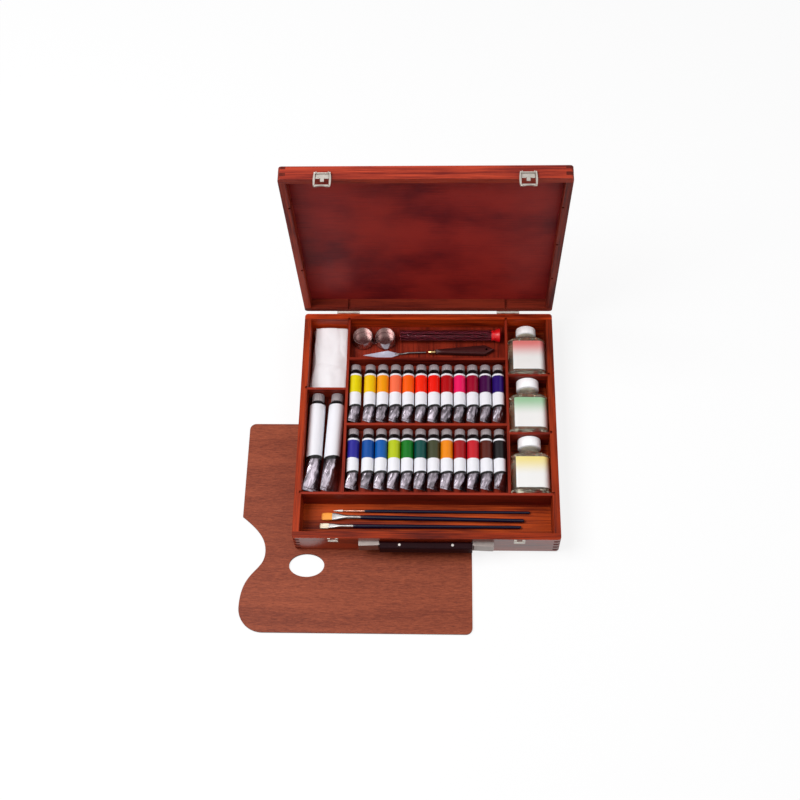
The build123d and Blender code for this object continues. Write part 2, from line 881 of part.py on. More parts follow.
def charcoal_tube():
    """A straight tube of drawing charcoal with a flared stopper."""
    x = centre_left + charcoal_left
    y = inner_y - charcoal_from_back
    z = raised_top + seat_gap + stopper_radius
    tube = rod_x(charcoal_radius, x, x + charcoal_length, y, z)
    stopper = turned(
        [
            (0, 0),
            (charcoal_radius + seat_gap, 0),
            (stopper_radius, stopper_flare_share * stopper_length),
            (stopper_radius, stopper_length),
            (0, stopper_length),
        ]
    )
    return [tube, along_x(stopper, x + charcoal_length, y, z)]


def painting_knife():
    """A diamond blade on a cranked shank, with a ferrule and a pointed handle."""
    x = centre_left + knife_left
    y = knife_divider_y + divider_thickness / 2 + knife_from_front
    low = raised_top + seat_gap
    diamond = [
        (0, 0),
        (blade_widest, blade_width / 2),
        (blade_length, shank_radius),
        (blade_length, -shank_radius),
        (blade_widest, -blade_width / 2),
    ]
    face = make_face(Polyline(*diamond, close=True))
    blade = Pos(x, y, low) * extrude(face, blade_thickness)
    knife_z = low + knife_handle_thickness / 2
    ferrule_x = x + blade_length + shank_length
    crank = [
        (x + blade_length - 2 * shank_radius, low),
        (x + blade_length + shank_rise, low),
        (x + blade_length + 2 * shank_rise, knife_z - shank_radius),
        (ferrule_x, knife_z - shank_radius),
        (ferrule_x, knife_z + shank_radius),
        (x + blade_length + 2 * shank_rise - shank_radius, knife_z + shank_radius),
        (x + blade_length + shank_rise - shank_radius, low + 2 * shank_radius),
        (x + blade_length - 2 * shank_radius, low + 2 * shank_radius),
    ]
    shank_face = Plane.XZ * make_face(Polyline(*crank, close=True))
    shank = Pos(0, y + shank_radius, 0) * extrude(shank_face, 2 * shank_radius)
    ferrule_profile = [
        (0, 0),
        (0.7 * knife_ferrule_radius, 0),
        (knife_ferrule_radius, 0.3 * knife_ferrule_length),
        (knife_ferrule_radius, knife_ferrule_length),
        (0, knife_ferrule_length),
    ]
    ferrule = along_x(turned(ferrule_profile), ferrule_x, y, knife_z)
    handle_x = ferrule_x + knife_ferrule_length
    end_x = handle_x + knife_handle_length
    belly_x = end_x - knife_handle_point
    root = knife_ferrule_radius
    half = knife_handle_width / 2
    edge = Polyline(
        (handle_x, -root),
        (handle_x, root),
        (belly_x, half),
        (end_x, 0),
        (belly_x, -half),
        close=True,
    )
    handle = extrude(make_face(edge), knife_handle_thickness)
    belly_edges = handle.edges().filter_by(Axis.Z).group_by(Axis.X)[1]
    handle = fillet(belly_edges, half)
    handle = Pos(0, y, low) * handle
    hole = Cylinder(knife_hole_radius, 2 * knife_handle_thickness)
    handle -= Pos(end_x - knife_hole_from_end, y, knife_z) * hole
    swing = Pos(x, y, 0) * Rot(0, 0, knife_swing) * Pos(-x, -y, 0)
    return [swing * solid for solid in (blade + shank, ferrule, handle)]


# Brushes in the front tray


def brush(form):
    """A long brush: flat or round hair, a crimped ferrule and a tapered handle."""
    round_hair = form.width == form.thickness
    neck = brush_neck_share * form.radius
    root_corner = 0.45 * form.thickness
    root_face = RectangleRounded(form.width, form.thickness, root_corner)
    tip_share = 0.2 if round_hair else 0.75
    tip_width = form.width * tip_share
    tip_face = RectangleRounded(tip_width, form.thickness * tip_share, root_corner * tip_share)
    tuft = loft([tip_face, Pos(0, 0, form.hair) * root_face])
    crimp = ferrule_crimp_share * form.ferrule
    start = form.hair + form.ferrule
    sleeve = loft([Pos(0, 0, form.hair) * root_face, Pos(0, 0, start - crimp) * near_round(neck)])
    sleeve += Pos(0, 0, start - crimp / 2) * Cylinder(neck, crimp)
    for place in ferrule_ridge_places:
        ridge = Cylinder(neck + ferrule_ridge_height, ferrule_ridge_width)
        sleeve += Pos(0, 0, start - place * crimp) * ridge
    end = start + form.handle
    stick = turned(
        [
            (0, start),
            (neck, start),
            (form.radius, start + brush_belly_place * form.handle),
            (form.end_radius, end - form.end_radius),
            (0.8 * form.end_radius, end - 0.4 * form.end_radius),
            (0.45 * form.end_radius, end),
            (0, end),
        ]
    )
    y = front_divider_y - divider_thickness / 2 - form.from_divider
    z = floor_top + seat_gap + max(form.radius, form.thickness / 2)
    place = Pos(form.tip_x - inner_x, y, z) * Rot(0, 0, -form.swing)
    return [place * Rot(0, 90, 0) * Rot(0, 0, 90) * solid for solid in (tuft, sleeve, stick)]


# Cloth


def folded_cloth():
    """A cleaning cloth folded back and forth into a pad."""
    half_x = cloth_width / 2
    bend = cloth_layer_thickness + cloth_layer_gap / 2
    pitch = cloth_layer_thickness + cloth_layer_gap
    height = cloth_layers * pitch - cloth_layer_gap
    y1 = inner_y - cloth_from_back
    profile = RectangleRounded(cloth_width, height, 0.45 * cloth_layer_thickness)
    for i in range(1, cloth_layers):
        side = 1 if i % 2 else -1
        z = i * pitch - cloth_layer_gap / 2 - height / 2
        slit_x0, slit_x1 = sorted((side * (half_x + bend), -side * (half_x - bend)))
        profile -= Pos((slit_x0 + slit_x1) / 2, z) * Rectangle(slit_x1 - slit_x0, cloth_layer_gap)
    pad = extrude(Plane.XZ * profile, cloth_length)
    return Pos(left_bay_centre, y1, floor_top + seat_gap + height / 2) * pad


# The set


def build_set():
    """Every piece of the set by its node name, each a list of solids in case coordinates."""
    nodes = {}
    panel_top = lid_inside + lid_panel_thickness
    base = case_walls(0, base_height, 0, bottom_recess, floor_top, floor_top, base_height)
    lid = case_walls(lid_bottom, lid_top, -1, lid_inside, panel_top, lid_bottom, lid_inside)
    for name, solid in base.items():
        nodes["base_" + name] = [solid]
    nodes["base_bottom"] = [panel(bottom_recess, floor_top)]
    nodes["front_divider"] = [front_divider()]
    nodes["long_dividers"] = [long_divider(-1), long_divider(1)]
    nodes["cross_dividers"] = cross_dividers()
    nodes["raised_floor"] = raised_floor()
    for name, solid in lid.items():
        nodes["lid_" + name] = [opened(solid)]
    nodes["lid_panel"] = [opened(panel(lid_inside, panel_top))]

    nodes["hinge_base_leaves"] = pair(base_leaf, hinge_spacing)
    nodes["hinge_lid_leaves"] = [opened(leaf) for leaf in pair(lid_leaf, hinge_spacing)]
    nodes["hinge_pins"] = pair(hinge_pin, hinge_spacing)
    nodes["latch_plates"] = [opened(plate) for plate in pair(latch_plate, latch_spacing)]
    for name, x in (("left", -latch_spacing / 2), ("right", latch_spacing / 2)):
        nodes["latch_frame_" + name] = [opened(latch_frame(x))]
    nodes["latch_keepers"] = pair(keeper, latch_spacing)
    nodes["handle_brackets"] = pair(handle_bracket, handle_length)
    nodes["handle_grip"] = handle_grip()

    nodes["palette"] = [palette()]
    nodes["cleaning_cloth"] = [folded_cloth()]
    nodes["large_tube_left"] = large_tube(-1)
    nodes["large_tube_right"] = large_tube(1)
    for i, (name, form) in enumerate(bottles.items()):
        nodes[name] = bottle(form, inner_y - i * bottle_pitch)
    nodes["double_dipper"] = double_dipper()
    nodes["charcoal_tube"] = charcoal_tube()
    nodes["painting_knife"] = painting_knife()
    for name, form in brushes.items():
        nodes[name] = brush(form)
    rows = {
        "back": knife_divider_y - divider_thickness / 2 - back_row_start,
        "front": middle_divider_y - divider_thickness / 2 - front_row_start,
    }
    for row, cap_y in rows.items():
        for i in range(tube_count):
            nodes[f"{row}_tube_{i + 1:02d}"] = small_tube(tube_row_x(i), cap_y)
    return nodes


def set_origin():
    """The move from case coordinates to the centre of the footprint on the table."""
    angle = radians(lid_open_angle)
    lid_reach = hinge_y + (lid_top - hinge_z) * sin(angle) - hinge_axis_out * cos(angle)
    middle_x = (palette_left + case_width / 2) / 2
    middle_y = (palette_front + lid_reach) / 2
    return Pos(-middle_x, -middle_y, palette_thickness)


def main():
    os.makedirs("parts", exist_ok=True)
    move = set_origin()
    for name, solids in build_set().items():
        moved = [move * solid for solid in solids]
        shape = moved[0] if len(moved) == 1 else Compound(children=moved)
        export_step(shape, f"parts/{name}.step")


main()
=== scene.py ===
"""Dresses the wooden oil paint set: stained case, bright hardware, paint tubes, bottles, tools and palette.

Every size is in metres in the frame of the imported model. The pieces are grouped in operators, one
for each kind of thing in the case and one for the stage, and main() calls them in order.
"""
import json
from collections import namedtuple
from math import atan, cos, pi, radians, sin, sqrt, tan
from types import SimpleNamespace

import bpy
from mathutils import Matrix, Vector, noise


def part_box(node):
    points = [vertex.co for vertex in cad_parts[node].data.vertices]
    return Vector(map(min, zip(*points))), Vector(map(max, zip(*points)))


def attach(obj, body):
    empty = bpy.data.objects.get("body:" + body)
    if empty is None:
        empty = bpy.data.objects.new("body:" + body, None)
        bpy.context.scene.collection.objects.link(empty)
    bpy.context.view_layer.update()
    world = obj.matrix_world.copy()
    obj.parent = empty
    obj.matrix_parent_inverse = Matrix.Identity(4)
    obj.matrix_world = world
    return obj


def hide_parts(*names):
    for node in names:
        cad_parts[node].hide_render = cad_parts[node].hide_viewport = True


bl_info = {
    "name": "Oil paint set",
    "version": (1, 0, 0),
    "blender": (4, 5, 0),
    "location": "View3D > Sidebar > Paint set",
    "description": "Materials and detailed pieces for a wooden case of oil paints",
    "category": "Object",
}

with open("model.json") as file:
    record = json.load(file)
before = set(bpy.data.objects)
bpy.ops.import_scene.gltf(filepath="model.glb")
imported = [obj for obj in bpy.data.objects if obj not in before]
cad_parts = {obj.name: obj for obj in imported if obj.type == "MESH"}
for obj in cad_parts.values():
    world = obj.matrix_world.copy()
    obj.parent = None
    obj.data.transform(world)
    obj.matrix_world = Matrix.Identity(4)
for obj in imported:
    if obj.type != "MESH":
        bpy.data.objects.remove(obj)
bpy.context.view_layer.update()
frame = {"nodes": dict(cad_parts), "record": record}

RECORD = frame["record"]
BODY_OF = {node: body for body, nodes in RECORD["behaviour"]["bodies"].items() for node in nodes}
JOINTS = {joint["name"]: joint for joint in RECORD["behaviour"]["joints"]}
LID_ANGLE = -radians(JOINTS["lid_hinge"]["range_deg"][0])
MM = 0.001
TURN = 2 * pi

# A brush handle's radius at its ferrule, and the place of its belly, as shares of radius and length
NECK_SHARE = 0.85
BELLY_PLACE = 0.14

# Paint colours from left to right, as (red, green, blue) out of 255
BACK_ROW_PAINTS = (
    (226, 208, 20), (236, 190, 20), (240, 150, 20), (244, 110, 75), (242, 92, 20), (242, 44, 20),
    (236, 32, 18), (172, 18, 24), (232, 32, 95), (152, 14, 45), (66, 14, 66), (44, 22, 104),
)
FRONT_ROW_PAINTS = (
    (45, 42, 142), (18, 76, 152), (18, 88, 165), (178, 194, 28), (12, 112, 32), (12, 74, 68),
    (64, 68, 46), (236, 134, 18), (158, 22, 28), (194, 32, 44), (82, 30, 20), (26, 24, 26),
)


# Shader wiring


def tint(red, green, blue):
    """A colour out of 255, as a screen shows it, for a shader."""
    return tuple((part / 255) ** 2.2 for part in (red, green, blue))


def times(factor, colour):
    """A lighter or darker shade of a colour."""
    return tuple(factor * part for part in colour)


class Signal:
    """The output of a shader node, usable in Python sums."""

    def __init__(self, finish, socket):
        self.finish = finish
        self.socket = socket

    def sum(self, operation, *terms):
        return self.finish.sum(operation, *terms)

    def __add__(self, other):
        return self.sum("ADD", self, other)

    def __radd__(self, other):
        return self.sum("ADD", other, self)

    def __sub__(self, other):
        return self.sum("SUBTRACT", self, other)

    def __rsub__(self, other):
        return self.sum("SUBTRACT", other, self)

    def __mul__(self, other):
        return self.sum("MULTIPLY", self, other)

    def __rmul__(self, other):
        return self.sum("MULTIPLY", other, self)

    def __truediv__(self, other):
        return self.sum("DIVIDE", self, other)

    def __pow__(self, other):
        return self.sum("POWER", self, other)

    def __gt__(self, other):
        return self.sum("GREATER_THAN", self, other)

    def __lt__(self, other):
        return self.sum("LESS_THAN", self, other)

    def __abs__(self):
        return self.sum("ABSOLUTE", self)


class Wiring:
    """A shader tree, whose nodes all come from node()."""

    def __init__(self, tree):
        self.tree = tree
        tree.nodes.clear()

    def put(self, socket, value):
        """Gives a socket a value, or a link where the value is a signal."""
        if isinstance(value, Signal):
            self.tree.links.new(value.socket, socket)
        elif socket.type == "RGBA" and len(value) == 3:
            socket.default_value = (*value, 1.0)
        else:
            socket.default_value = value

    def node(self, kind, settings=None, inputs=None, output=0):
        """Adds a node: its settings first, then the values or links of its sockets."""
        made = self.tree.nodes.new("ShaderNode" + kind)
        for key, value in (settings or {}).items():
            if key == "stops":
                stops = made.color_ramp.elements
                while len(stops) < len(value):
                    stops.new(1.0)
                for stop, (place, colour) in zip(stops, value):
                    stop.position = place
                    stop.color = (*colour, 1.0)
            else:
                setattr(made, key, value)
        for key, value in (inputs or {}).items():
            self.put(made.inputs[key], value)
        return Signal(self, made.outputs[output]) if made.outputs else None

    def outputs_of(self, signal):
        """All the outputs of a signal's node, by name."""
        return {socket.name: Signal(self, socket) for socket in signal.socket.node.outputs}

    def sum(self, operation, *terms):
        """A Math node on its terms."""
        return self.node("Math", {"operation": operation}, dict(enumerate(terms)))

    def turned(self, vector, rotation):
        """A vector turned about X, Y and Z."""
        return self.node("Mapping", {"vector_type": "POINT"}, {"Vector": vector, "Rotation": rotation})

    def coordinates(self, turn=0.0, kind="Object"):
        """The piece's own coordinates, turned about X so that an open lid's pattern follows the lid."""
        return self.turned(self.node("TexCoord", output={"Object": 3, "Normal": 1}[kind]), (turn, 0, 0))

    def scaled(self, place, per_mm, offset=(0, 0, 0)):
        """A place as waves per millimetre along all axes, or along each, plus an offset."""
        factors = tuple(part / MM for part in (per_mm if isinstance(per_mm, tuple) else (per_mm,) * 3))
        return self.node("VectorMath", {"operation": "MULTIPLY_ADD"}, {0: place, 1: factors, 2: offset})

    def split(self, vector):
        """The X, Y and Z parts of a vector."""
        return tuple(self.outputs_of(self.node("SeparateXYZ", {}, {0: vector})).values())

    def seen_directly(self):
        """1 for rays of the camera, of mirrors and of glass, else 0."""
        rays = self.outputs_of(self.node("LightPath"))
        either = self.sum("MAXIMUM", rays["Is Camera Ray"], rays["Is Glossy Ray"])
        return self.sum("MAXIMUM", either, rays["Is Transmission Ray"])

    def noise(self, place, per_mm, offset=(0, 0, 0), detail=3.0, roughness=0.5, distortion=0.0):
        """Soft noise from 0 to 1."""
        vector = self.scaled(place, per_mm, offset)
        texture = {"Vector": vector, "Scale": 1.0, "Detail": detail, "Roughness": roughness}
        return self.node("TexNoise", {}, {**texture, "Distortion": distortion})

    def between(self, value, low, high, start=0.0, end=1.0):
        """Maps a range of values smoothly to another range."""
        ranges = {0: value, 1: low, 2: high, 3: start, 4: end}
        return self.node("MapRange", {"interpolation_type": "SMOOTHSTEP"}, ranges)

    def mix(self, factor, first, second):
        """A colour between two colours."""
        return self.node("Mix", {"data_type": "RGBA"}, {0: factor, 6: first, 7: second}, 2)

    def bump(self, height, distance, strength=1.0):
        """A surface normal from a height."""
        return self.node("Bump", {}, {"Height": height, "Distance": distance, "Strength": strength})


class Finish(Wiring):
    """A material."""

    def __init__(self, name):
        self.material = bpy.data.materials.new(name)
        self.material.use_nodes = True
        super().__init__(self.material.node_tree)

    def surface(self, **sockets):
        """Ends the material at a shader, given by its sockets with underscores for spaces."""
        named = {key.replace("_", " "): value for key, value in sockets.items()}
        return self.ended(self.node("BsdfPrincipled", {}, named))

    def ended(self, shader):
        """The material, once its tree ends at a shader."""
        self.node("OutputMaterial", {}, {"Surface": shader})
        return self.material


# Mesh making


def skin(rings, close_start=True, close_end=True):
    """Points and faces of a skin over closed rings that have equally many points."""
    count = len(rings[0])
    points = [point for ring in rings for point in ring]
    faces = []
    for row in range(len(rings) - 1):
        for i in range(count):
            j = (i + 1) % count
            low = row * count
            faces.append((low + i, low + j, low + count + j, low + count + i))
    last = (len(rings) - 1) * count
    if close_start:
        faces.append(tuple(reversed(range(count))))
    if close_end:
        faces.append(tuple(range(last, last + count)))
    return points, faces


def sheet_faces(rows, columns):
    """The faces of an open grid of points."""
    return [
        (row * columns + i, row * columns + i + 1, (row + 1) * columns + i + 1, (row + 1) * columns + i)
        for row in range(rows - 1)
        for i in range(columns - 1)
    ]


def add_piece(name, points, faces, material, sharp=40.0):
    """A new object from points and faces, smooth but for its sharp edges."""
    mesh = bpy.data.meshes.new(name)
    mesh.from_pydata([tuple(point) for point in points], [], faces)
    mesh.update()
    mesh.shade_smooth()
    mesh.set_sharp_from_angle(angle=radians(sharp))
    mesh.materials.append(material)
    piece = bpy.data.objects.new(name, mesh)
    bpy.context.scene.collection.objects.link(piece)
    return piece


def dress(piece, node, stands_in=True):
    """Lets a piece ride on a node's body and, where it stands in for it, hide it."""
    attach(piece, BODY_OF[node])
    if stands_in:
        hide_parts(node)
    return piece


def add_skin(name, node, rings, material, sharp=50.0, stands_in=True):
    """A piece skinned over closed rings, dressed for its node."""
    return dress(add_piece(name, *skin(rings), material, sharp), node, stands_in)


def paint_node(node, material):
    """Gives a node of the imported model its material."""
    mesh = frame["nodes"][node].data
    mesh.materials.clear()
    mesh.materials.append(material)


def round_ring(radius, count, place, wobble=None):
    """A circle of points carried to its place by a function of two coordinates."""
    ring = []
    for i in range(count):
        angle = TURN * i / count
        reach = radius * (wobble(i) if wobble else 1.0)
        ring.append(place(reach * cos(angle), reach * sin(angle)))
    return ring


def oblong_ring(half_width, half_height, corner, count, place):
    """A rounded rectangle of points, evenly spread over its four corners."""
    corner = min(corner, 0.999 * half_width, 0.999 * half_height)
    ring = []
    per_corner = count // 4
    for quarter, (side_x, side_y) in enumerate(((1, 1), (-1, 1), (-1, -1), (1, -1))):
        for i in range(per_corner):
            angle = (quarter + i / (per_corner - 1)) * pi / 2
            x = side_x * (half_width - corner) + corner * cos(angle)
            y = side_y * (half_height - corner) + corner * sin(angle)
            ring.append(place(x, y))
    return ring


def slice_at(place, along):
    """A placing of two coordinates at one distance, from a placing of two coordinates and the distance."""
    return lambda a, b: place(a, b, along)


def lathe(profile, count, place):
    """The rings of a turned form, from pairs of radius and distance."""
    return [round_ring(radius, count, slice_at(place, along)) for radius, along in profile]


def down_y(centre, start):
    """A placing that runs towards -Y from a start, round the centre's X and Z."""
    return lambda a, b, along: Vector((centre.x + a, start - along, centre.z + b))


def up_x(centre, start):
    """A placing that runs towards +X from a start, round the centre's Y and Z."""
    return lambda a, b, along: Vector((start + along, centre.y + a, centre.z + b))


# Settings


def number_of(text, default, **limits):
    return bpy.props.FloatProperty(description=text, default=default, **limits)


def vector_of(text, default, **limits):
    return bpy.props.FloatVectorProperty(description=text, default=default, **limits)


def length_of(text, millimetres):
    return number_of(text, millimetres * MM, unit="LENGTH", precision=4)


def angle_of(text, degrees):
    return number_of(text, radians(degrees), subtype="ANGLE")


def colour_of(text, *parts):
    return vector_of(text, tint(*parts), subtype="COLOR", min=0.0, max=1.0)


class CaseSettings(bpy.types.PropertyGroup):
    """Stain and varnish of the case, and its plated hardware."""

    wall_light: colour_of("Stained wood between its grain lines", 168, 58, 24)
    wall_dark: colour_of("Stained wood on its grain lines", 74, 16, 8)
    tray_light: colour_of("Bottom of the case between its grain lines", 192, 76, 28)
    tray_dark: colour_of("Bottom of the case on its grain lines", 96, 26, 12)
    # The lid's pair is the walls' wood with a purplish cast that is painted reflection. The panel's pair is
    # partly its own redder stain and partly the same painted purplish reflection.
    lid_light: colour_of("Lid between its grain lines", 166, 62, 42)
    lid_dark: colour_of("Lid on its grain lines", 88, 24, 24)
    panel_light: colour_of("Lid panel between its grain lines", 168, 50, 44)
    panel_dark: colour_of("Lid panel on its grain lines", 100, 24, 32)
    divider_light: colour_of("Dividers between their grain lines", 146, 48, 30)
    divider_dark: colour_of("Dividers on their grain lines", 66, 14, 12)
    end_grain: colour_of("Ends of the corner fingers", 66, 20, 14)
    varnish_roughness: number_of("Roughness of the satin varnish", 0.36, subtype="FACTOR")
    steel: colour_of("Hinges, latches and keepers", 186, 179, 171)
    grip: colour_of("Moulded grip of the handle", 36, 16, 20)
    screw_radius: length_of("Radius of a hinge screw's head", 2.2)


class PaletteSettings(bpy.types.PropertyGroup):
    """Oiled plywood of the loose palette."""

    light: colour_of("Face veneer between its grain lines", 158, 80, 54)
    dark: colour_of("Grain lines of the face veneer", 100, 42, 28)
    edge: colour_of("Sawn edge of the plies", 96, 48, 36)


class ClothSettings(bpy.types.PropertyGroup):
    """The folded cleaning cloth."""

    colour: colour_of("Colour of the cloth", 246, 245, 248)
    layers: bpy.props.IntProperty(description="Doubled layers in the pad", default=4, min=2)
    crumple: length_of("Height of the soft waves in the cloth", 2.6)
    thickness: length_of("Thickness of the cloth", 0.7)


class TubeSettings(bpy.types.PropertyGroup):
    """Caps, labels and bare metal of the paint tubes, measured from the cap's end."""

    cap: colour_of("Moulded caps", 142, 131, 134)
    collar: colour_of("Dark collar under the cap", 22, 20, 22)
    enamel: colour_of("White part of a tube", 232, 232, 238)
    metal: colour_of("Unpainted aluminium", 150, 141, 150)
    radius: length_of("Small tube's barrel", 9.6)
    cap_length: length_of("Small tube's cap", 9.5)
    cap_radius: length_of("Small tube's cap", 8.1)
    collar_end: length_of("Small tube's dark collar ends here", 17.3)
    colour_start: length_of("Colour band starts here", 20.4)
    colour_end: length_of("Colour band ends here", 50.6)
    ring_start: length_of("Dark ring starts here", 72.8)
    ring_end: length_of("Dark ring ends and bare metal begins here", 76.8)
    crimp_width: length_of("Width of a small tube's folded end", 23.5)
    crimp_length: length_of("Length of the folded end", 5)
    large_radius: length_of("Large tube's barrel", 12.6)
    large_cap_length: length_of("Large tube's cap", 13)
    large_cap_radius: length_of("Large tube's cap", 9.8)
    large_collar_end: length_of("Large tube's dark collar ends here", 20)
    large_ring_start: length_of("Large tube's dark ring starts here", 110)
    large_ring_end: length_of("Large tube's bare metal begins here", 116)
    large_crimp_width: length_of("Width of a large tube's folded end", 31)
    crimp_turn: angle_of("Slant of the folded ends", -35)


class BottleSettings(bpy.types.PropertyGroup):
    """Glass bottles of painting medium, lying on their backs."""

    cap: colour_of("Ribbed caps", 252, 252, 254)
    glass: colour_of("Glass with the medium behind it", 246, 240, 214)
    pink: colour_of("Label of the bottle at the back", 226, 116, 112)
    green: colour_of("Label of the middle bottle", 142, 190, 146)
    yellow: colour_of("Label of the bottle in front", 236, 216, 128)
    paper: colour_of("Pale part of each label", 236, 236, 234)
    neck_radius: length_of("Radius of the neck", 13.5)
    shoulder_length: length_of("Length of the shoulder", 8)
    corner_radius: length_of("Rounding of the body's section", 13)
    foot_radius: length_of("Rounding at the foot", 2.1)
    label_start: length_of("Distance of the label from the foot at the neck end", 54.7)
    label_end: length_of("Distance of the label's far edge from the foot", 3.2)
    label_inset: length_of("Clear glass at the label's left", 7.5)


class ToolSettings(bpy.types.PropertyGroup):
    """Dipper, charcoal tube, painting knife and brushes."""

    stopper: colour_of("Stopper of the charcoal tube", 222, 22, 30)
    # The charcoal's red tint is partly painted reflection of the red case and partly stands in for the tube's
    # pink print.
    charcoal: colour_of("Drawing charcoal", 78, 28, 36)
    # The blade's pale bluish colour is partly painted reflection of the bright surroundings, for the blade is
    # only partly metallic.
    blade: colour_of("Polished blade of the painting knife", 198, 200, 220)
    brass: colour_of("Ferrule of the painting knife", 208, 176, 122)
    knife_wood: colour_of("Varnished handle of the painting knife", 62, 30, 30)
    lacquer: colour_of("Handles of the brushes", 18, 14, 40)
    white_hair: colour_of("Round brush", 250, 244, 238)
    orange_hair: colour_of("Wide flat brush", 250, 160, 48)
    cream_hair: colour_of("Narrow flat brush", 252, 238, 212)
    copper: colour_of("Ferrule of the round brush", 205, 150, 130)


class StageSettings(bpy.types.PropertyGroup):
    """Camera, floor and studio light."""

    focal: number_of("Focal length in widths of the picture", 1.58396)
    tilt: angle_of("Angle of the view below the horizon", 62.12002)
    turn: angle_of("Angle of the view to the left", 5.36094)
    roll: angle_of("Roll of the camera", -4.60562)
    place: vector_of("Where the camera stands", (0.068988, -0.815711, 1.848146), subtype="TRANSLATION")
    shift: vector_of("Shift of the picture", (0.014128, -0.027687), size=2)
    floor: colour_of("Pale floor", 248, 248, 249)
    key_power: number_of("Power of the main lamp", 52, unit="POWER")
    fill_power: number_of("Power of the side lamp", 16, unit="POWER")
    sky: number_of("Strength of the light all round", 0.3)


SETTINGS = {
    "case": CaseSettings,
    "palette": PaletteSettings,
    "cloth": ClothSettings,
    "tubes": TubeSettings,
    "bottles": BottleSettings,
    "tools": ToolSettings,
    "stage": StageSettings,
}


def settings_of(context, group):
    """The values of a group of settings, its colours and places as tuples."""
    chosen = getattr(context.scene, "paint_set_" + group)
    values = {name: getattr(chosen, name) for name in SETTINGS[group].__annotations__}
    return SimpleNamespace(**{name: tuple(v) if hasattr(v, "__len__") else v for name, v in values.items()})


# Finishes


def wood_finish(name, grain, light, dark, end, roughness, seed, turn=0.0, evenness=0.0, gloss=0.0):
    """Stained wood with its grain along one axis, darker where it is cut across, glossier in front."""
    finish = Finish(name)
    place = finish.coordinates(turn)
    axis = "xyz".index(grain)

    def stretched(across, along, **texture):
        waves = tuple(along if index == axis else across for index in range(3))
        return finish.noise(place, waves, (seed * 7.3, seed * 3.1, seed * 5.7), **texture)

    figure = stretched(0.03, 0.004, detail=3, distortion=0.5)
    streaks = stretched(1.1, 0.02, detail=6, roughness=0.65)
    lines = stretched(0.3, 0.006, detail=4, roughness=0.55, distortion=0.3)
    pores = stretched(4.2, 0.14, detail=2)
    cloud = finish.noise(place, 0.009, (seed, 0, 0), detail=4)
    tone = figure * (0.4 * (1 - evenness)) + streaks * 0.4
    tone = tone + lines * (0.25 * (1 - evenness)) + cloud * (0.65 * evenness)
    colour = finish.mix(finish.between(tone, 0.41 - 0.03 * evenness, 0.6 + 0.02 * evenness), dark, light)
    flecks = finish.between(pores, 0.58, 0.74)
    colour = finish.mix(flecks * 0.4, colour, times(0.35, dark))
    normal = finish.split(finish.coordinates(turn, "Normal"))
    across = finish.between(abs(normal[axis]), 0.6, 0.85)
    colour = finish.mix(across * 0.72, colour, end)
    return finish.surface(
        Base_Color=colour,
        Roughness=roughness + streaks * 0.16 + across * 0.2,
        Specular_IOR_Level=0.14,
        Coat_Weight=finish.between(normal[1], -0.6, -0.9) * gloss,
        Coat_Roughness=0.3,
        Normal=finish.bump(streaks * 0.5 - flecks * 0.5, 0.07 * MM, 0.7),
    )


def ply_edge_finish(name, light, dark, edge, top, thickness):
    """Oiled plywood: a face with fine dark grain and a sawn edge that shows its plies."""
    finish = Finish(name)
    place = finish.coordinates()
    grain = finish.noise(place, (0.1, 1.2, 1.2), detail=7, roughness=0.7, distortion=0.5)
    bands = finish.noise(place, (0.004, 0.05, 0.05), detail=3, distortion=0.6)
    ticks = finish.noise(place, (0.22, 2.4, 2.4), (4, 9, 2), detail=2)
    tone = grain * 0.75 + bands * 0.25
    colour = finish.mix(finish.between(tone, 0.34, 0.66), dark, light)
    dashes = finish.between(ticks, 0.57, 0.7)
    colour = finish.mix(dashes * 0.5, colour, times(0.4, dark))
    height = finish.split(place)[2]
    side = 1 - finish.between(abs(finish.split(finish.coordinates(0, "Normal"))[2]), 0.4, 0.7)
    ply = finish.node("Math", {"operation": "PINGPONG"}, {0: (height - top) / thickness * 1.5, 1: 0.5})
    plies = finish.mix(finish.between(ply, 0.15, 0.3), times(0.5, edge), edge)
    colour = finish.mix(side, colour, plies)
    return finish.surface(
        Base_Color=colour,
        Roughness=0.42 + grain * 0.18,
        Specular_IOR_Level=0.2,
        Normal=finish.bump(grain * 0.6 - dashes * 0.6, 0.12 * MM, 0.8),
    )


def metal_finish(name, colour, roughness, brushed=None, metallic=1.0):
    """Plated or bare metal with a fine brushed grain and faint handling marks."""
    finish = Finish(name)
    place = finish.coordinates()
    smears = finish.noise(place, 0.12, detail=4)
    shade = finish.mix(finish.between(smears, 0.3, 0.7), times(0.86, colour), colour)
    rough = roughness + smears * 0.08
    facts = {"Base_Color": shade, "Metallic": metallic}
    if brushed:
        lines = finish.noise(place, brushed, detail=3)
        rough = rough + lines * 0.12
        facts["Normal"] = finish.bump(lines, 0.03 * MM, 0.5)
    return finish.surface(Roughness=rough, **facts)


def plastic_finish(name, colour, roughness, speckle=0.06):
    """Moulded plastic with a slight unevenness."""
    finish = Finish(name)
    place = finish.coordinates()
    cloud = finish.noise(place, 0.25, detail=4)
    fine = finish.noise(place, 3, detail=2)
    shade = finish.mix(cloud, times(1 - speckle, colour), colour)
    normal = finish.bump(fine, 0.02 * MM, 0.5)
    return finish.surface(Base_Color=shade, Roughness=roughness + cloud * 0.1, Normal=normal)


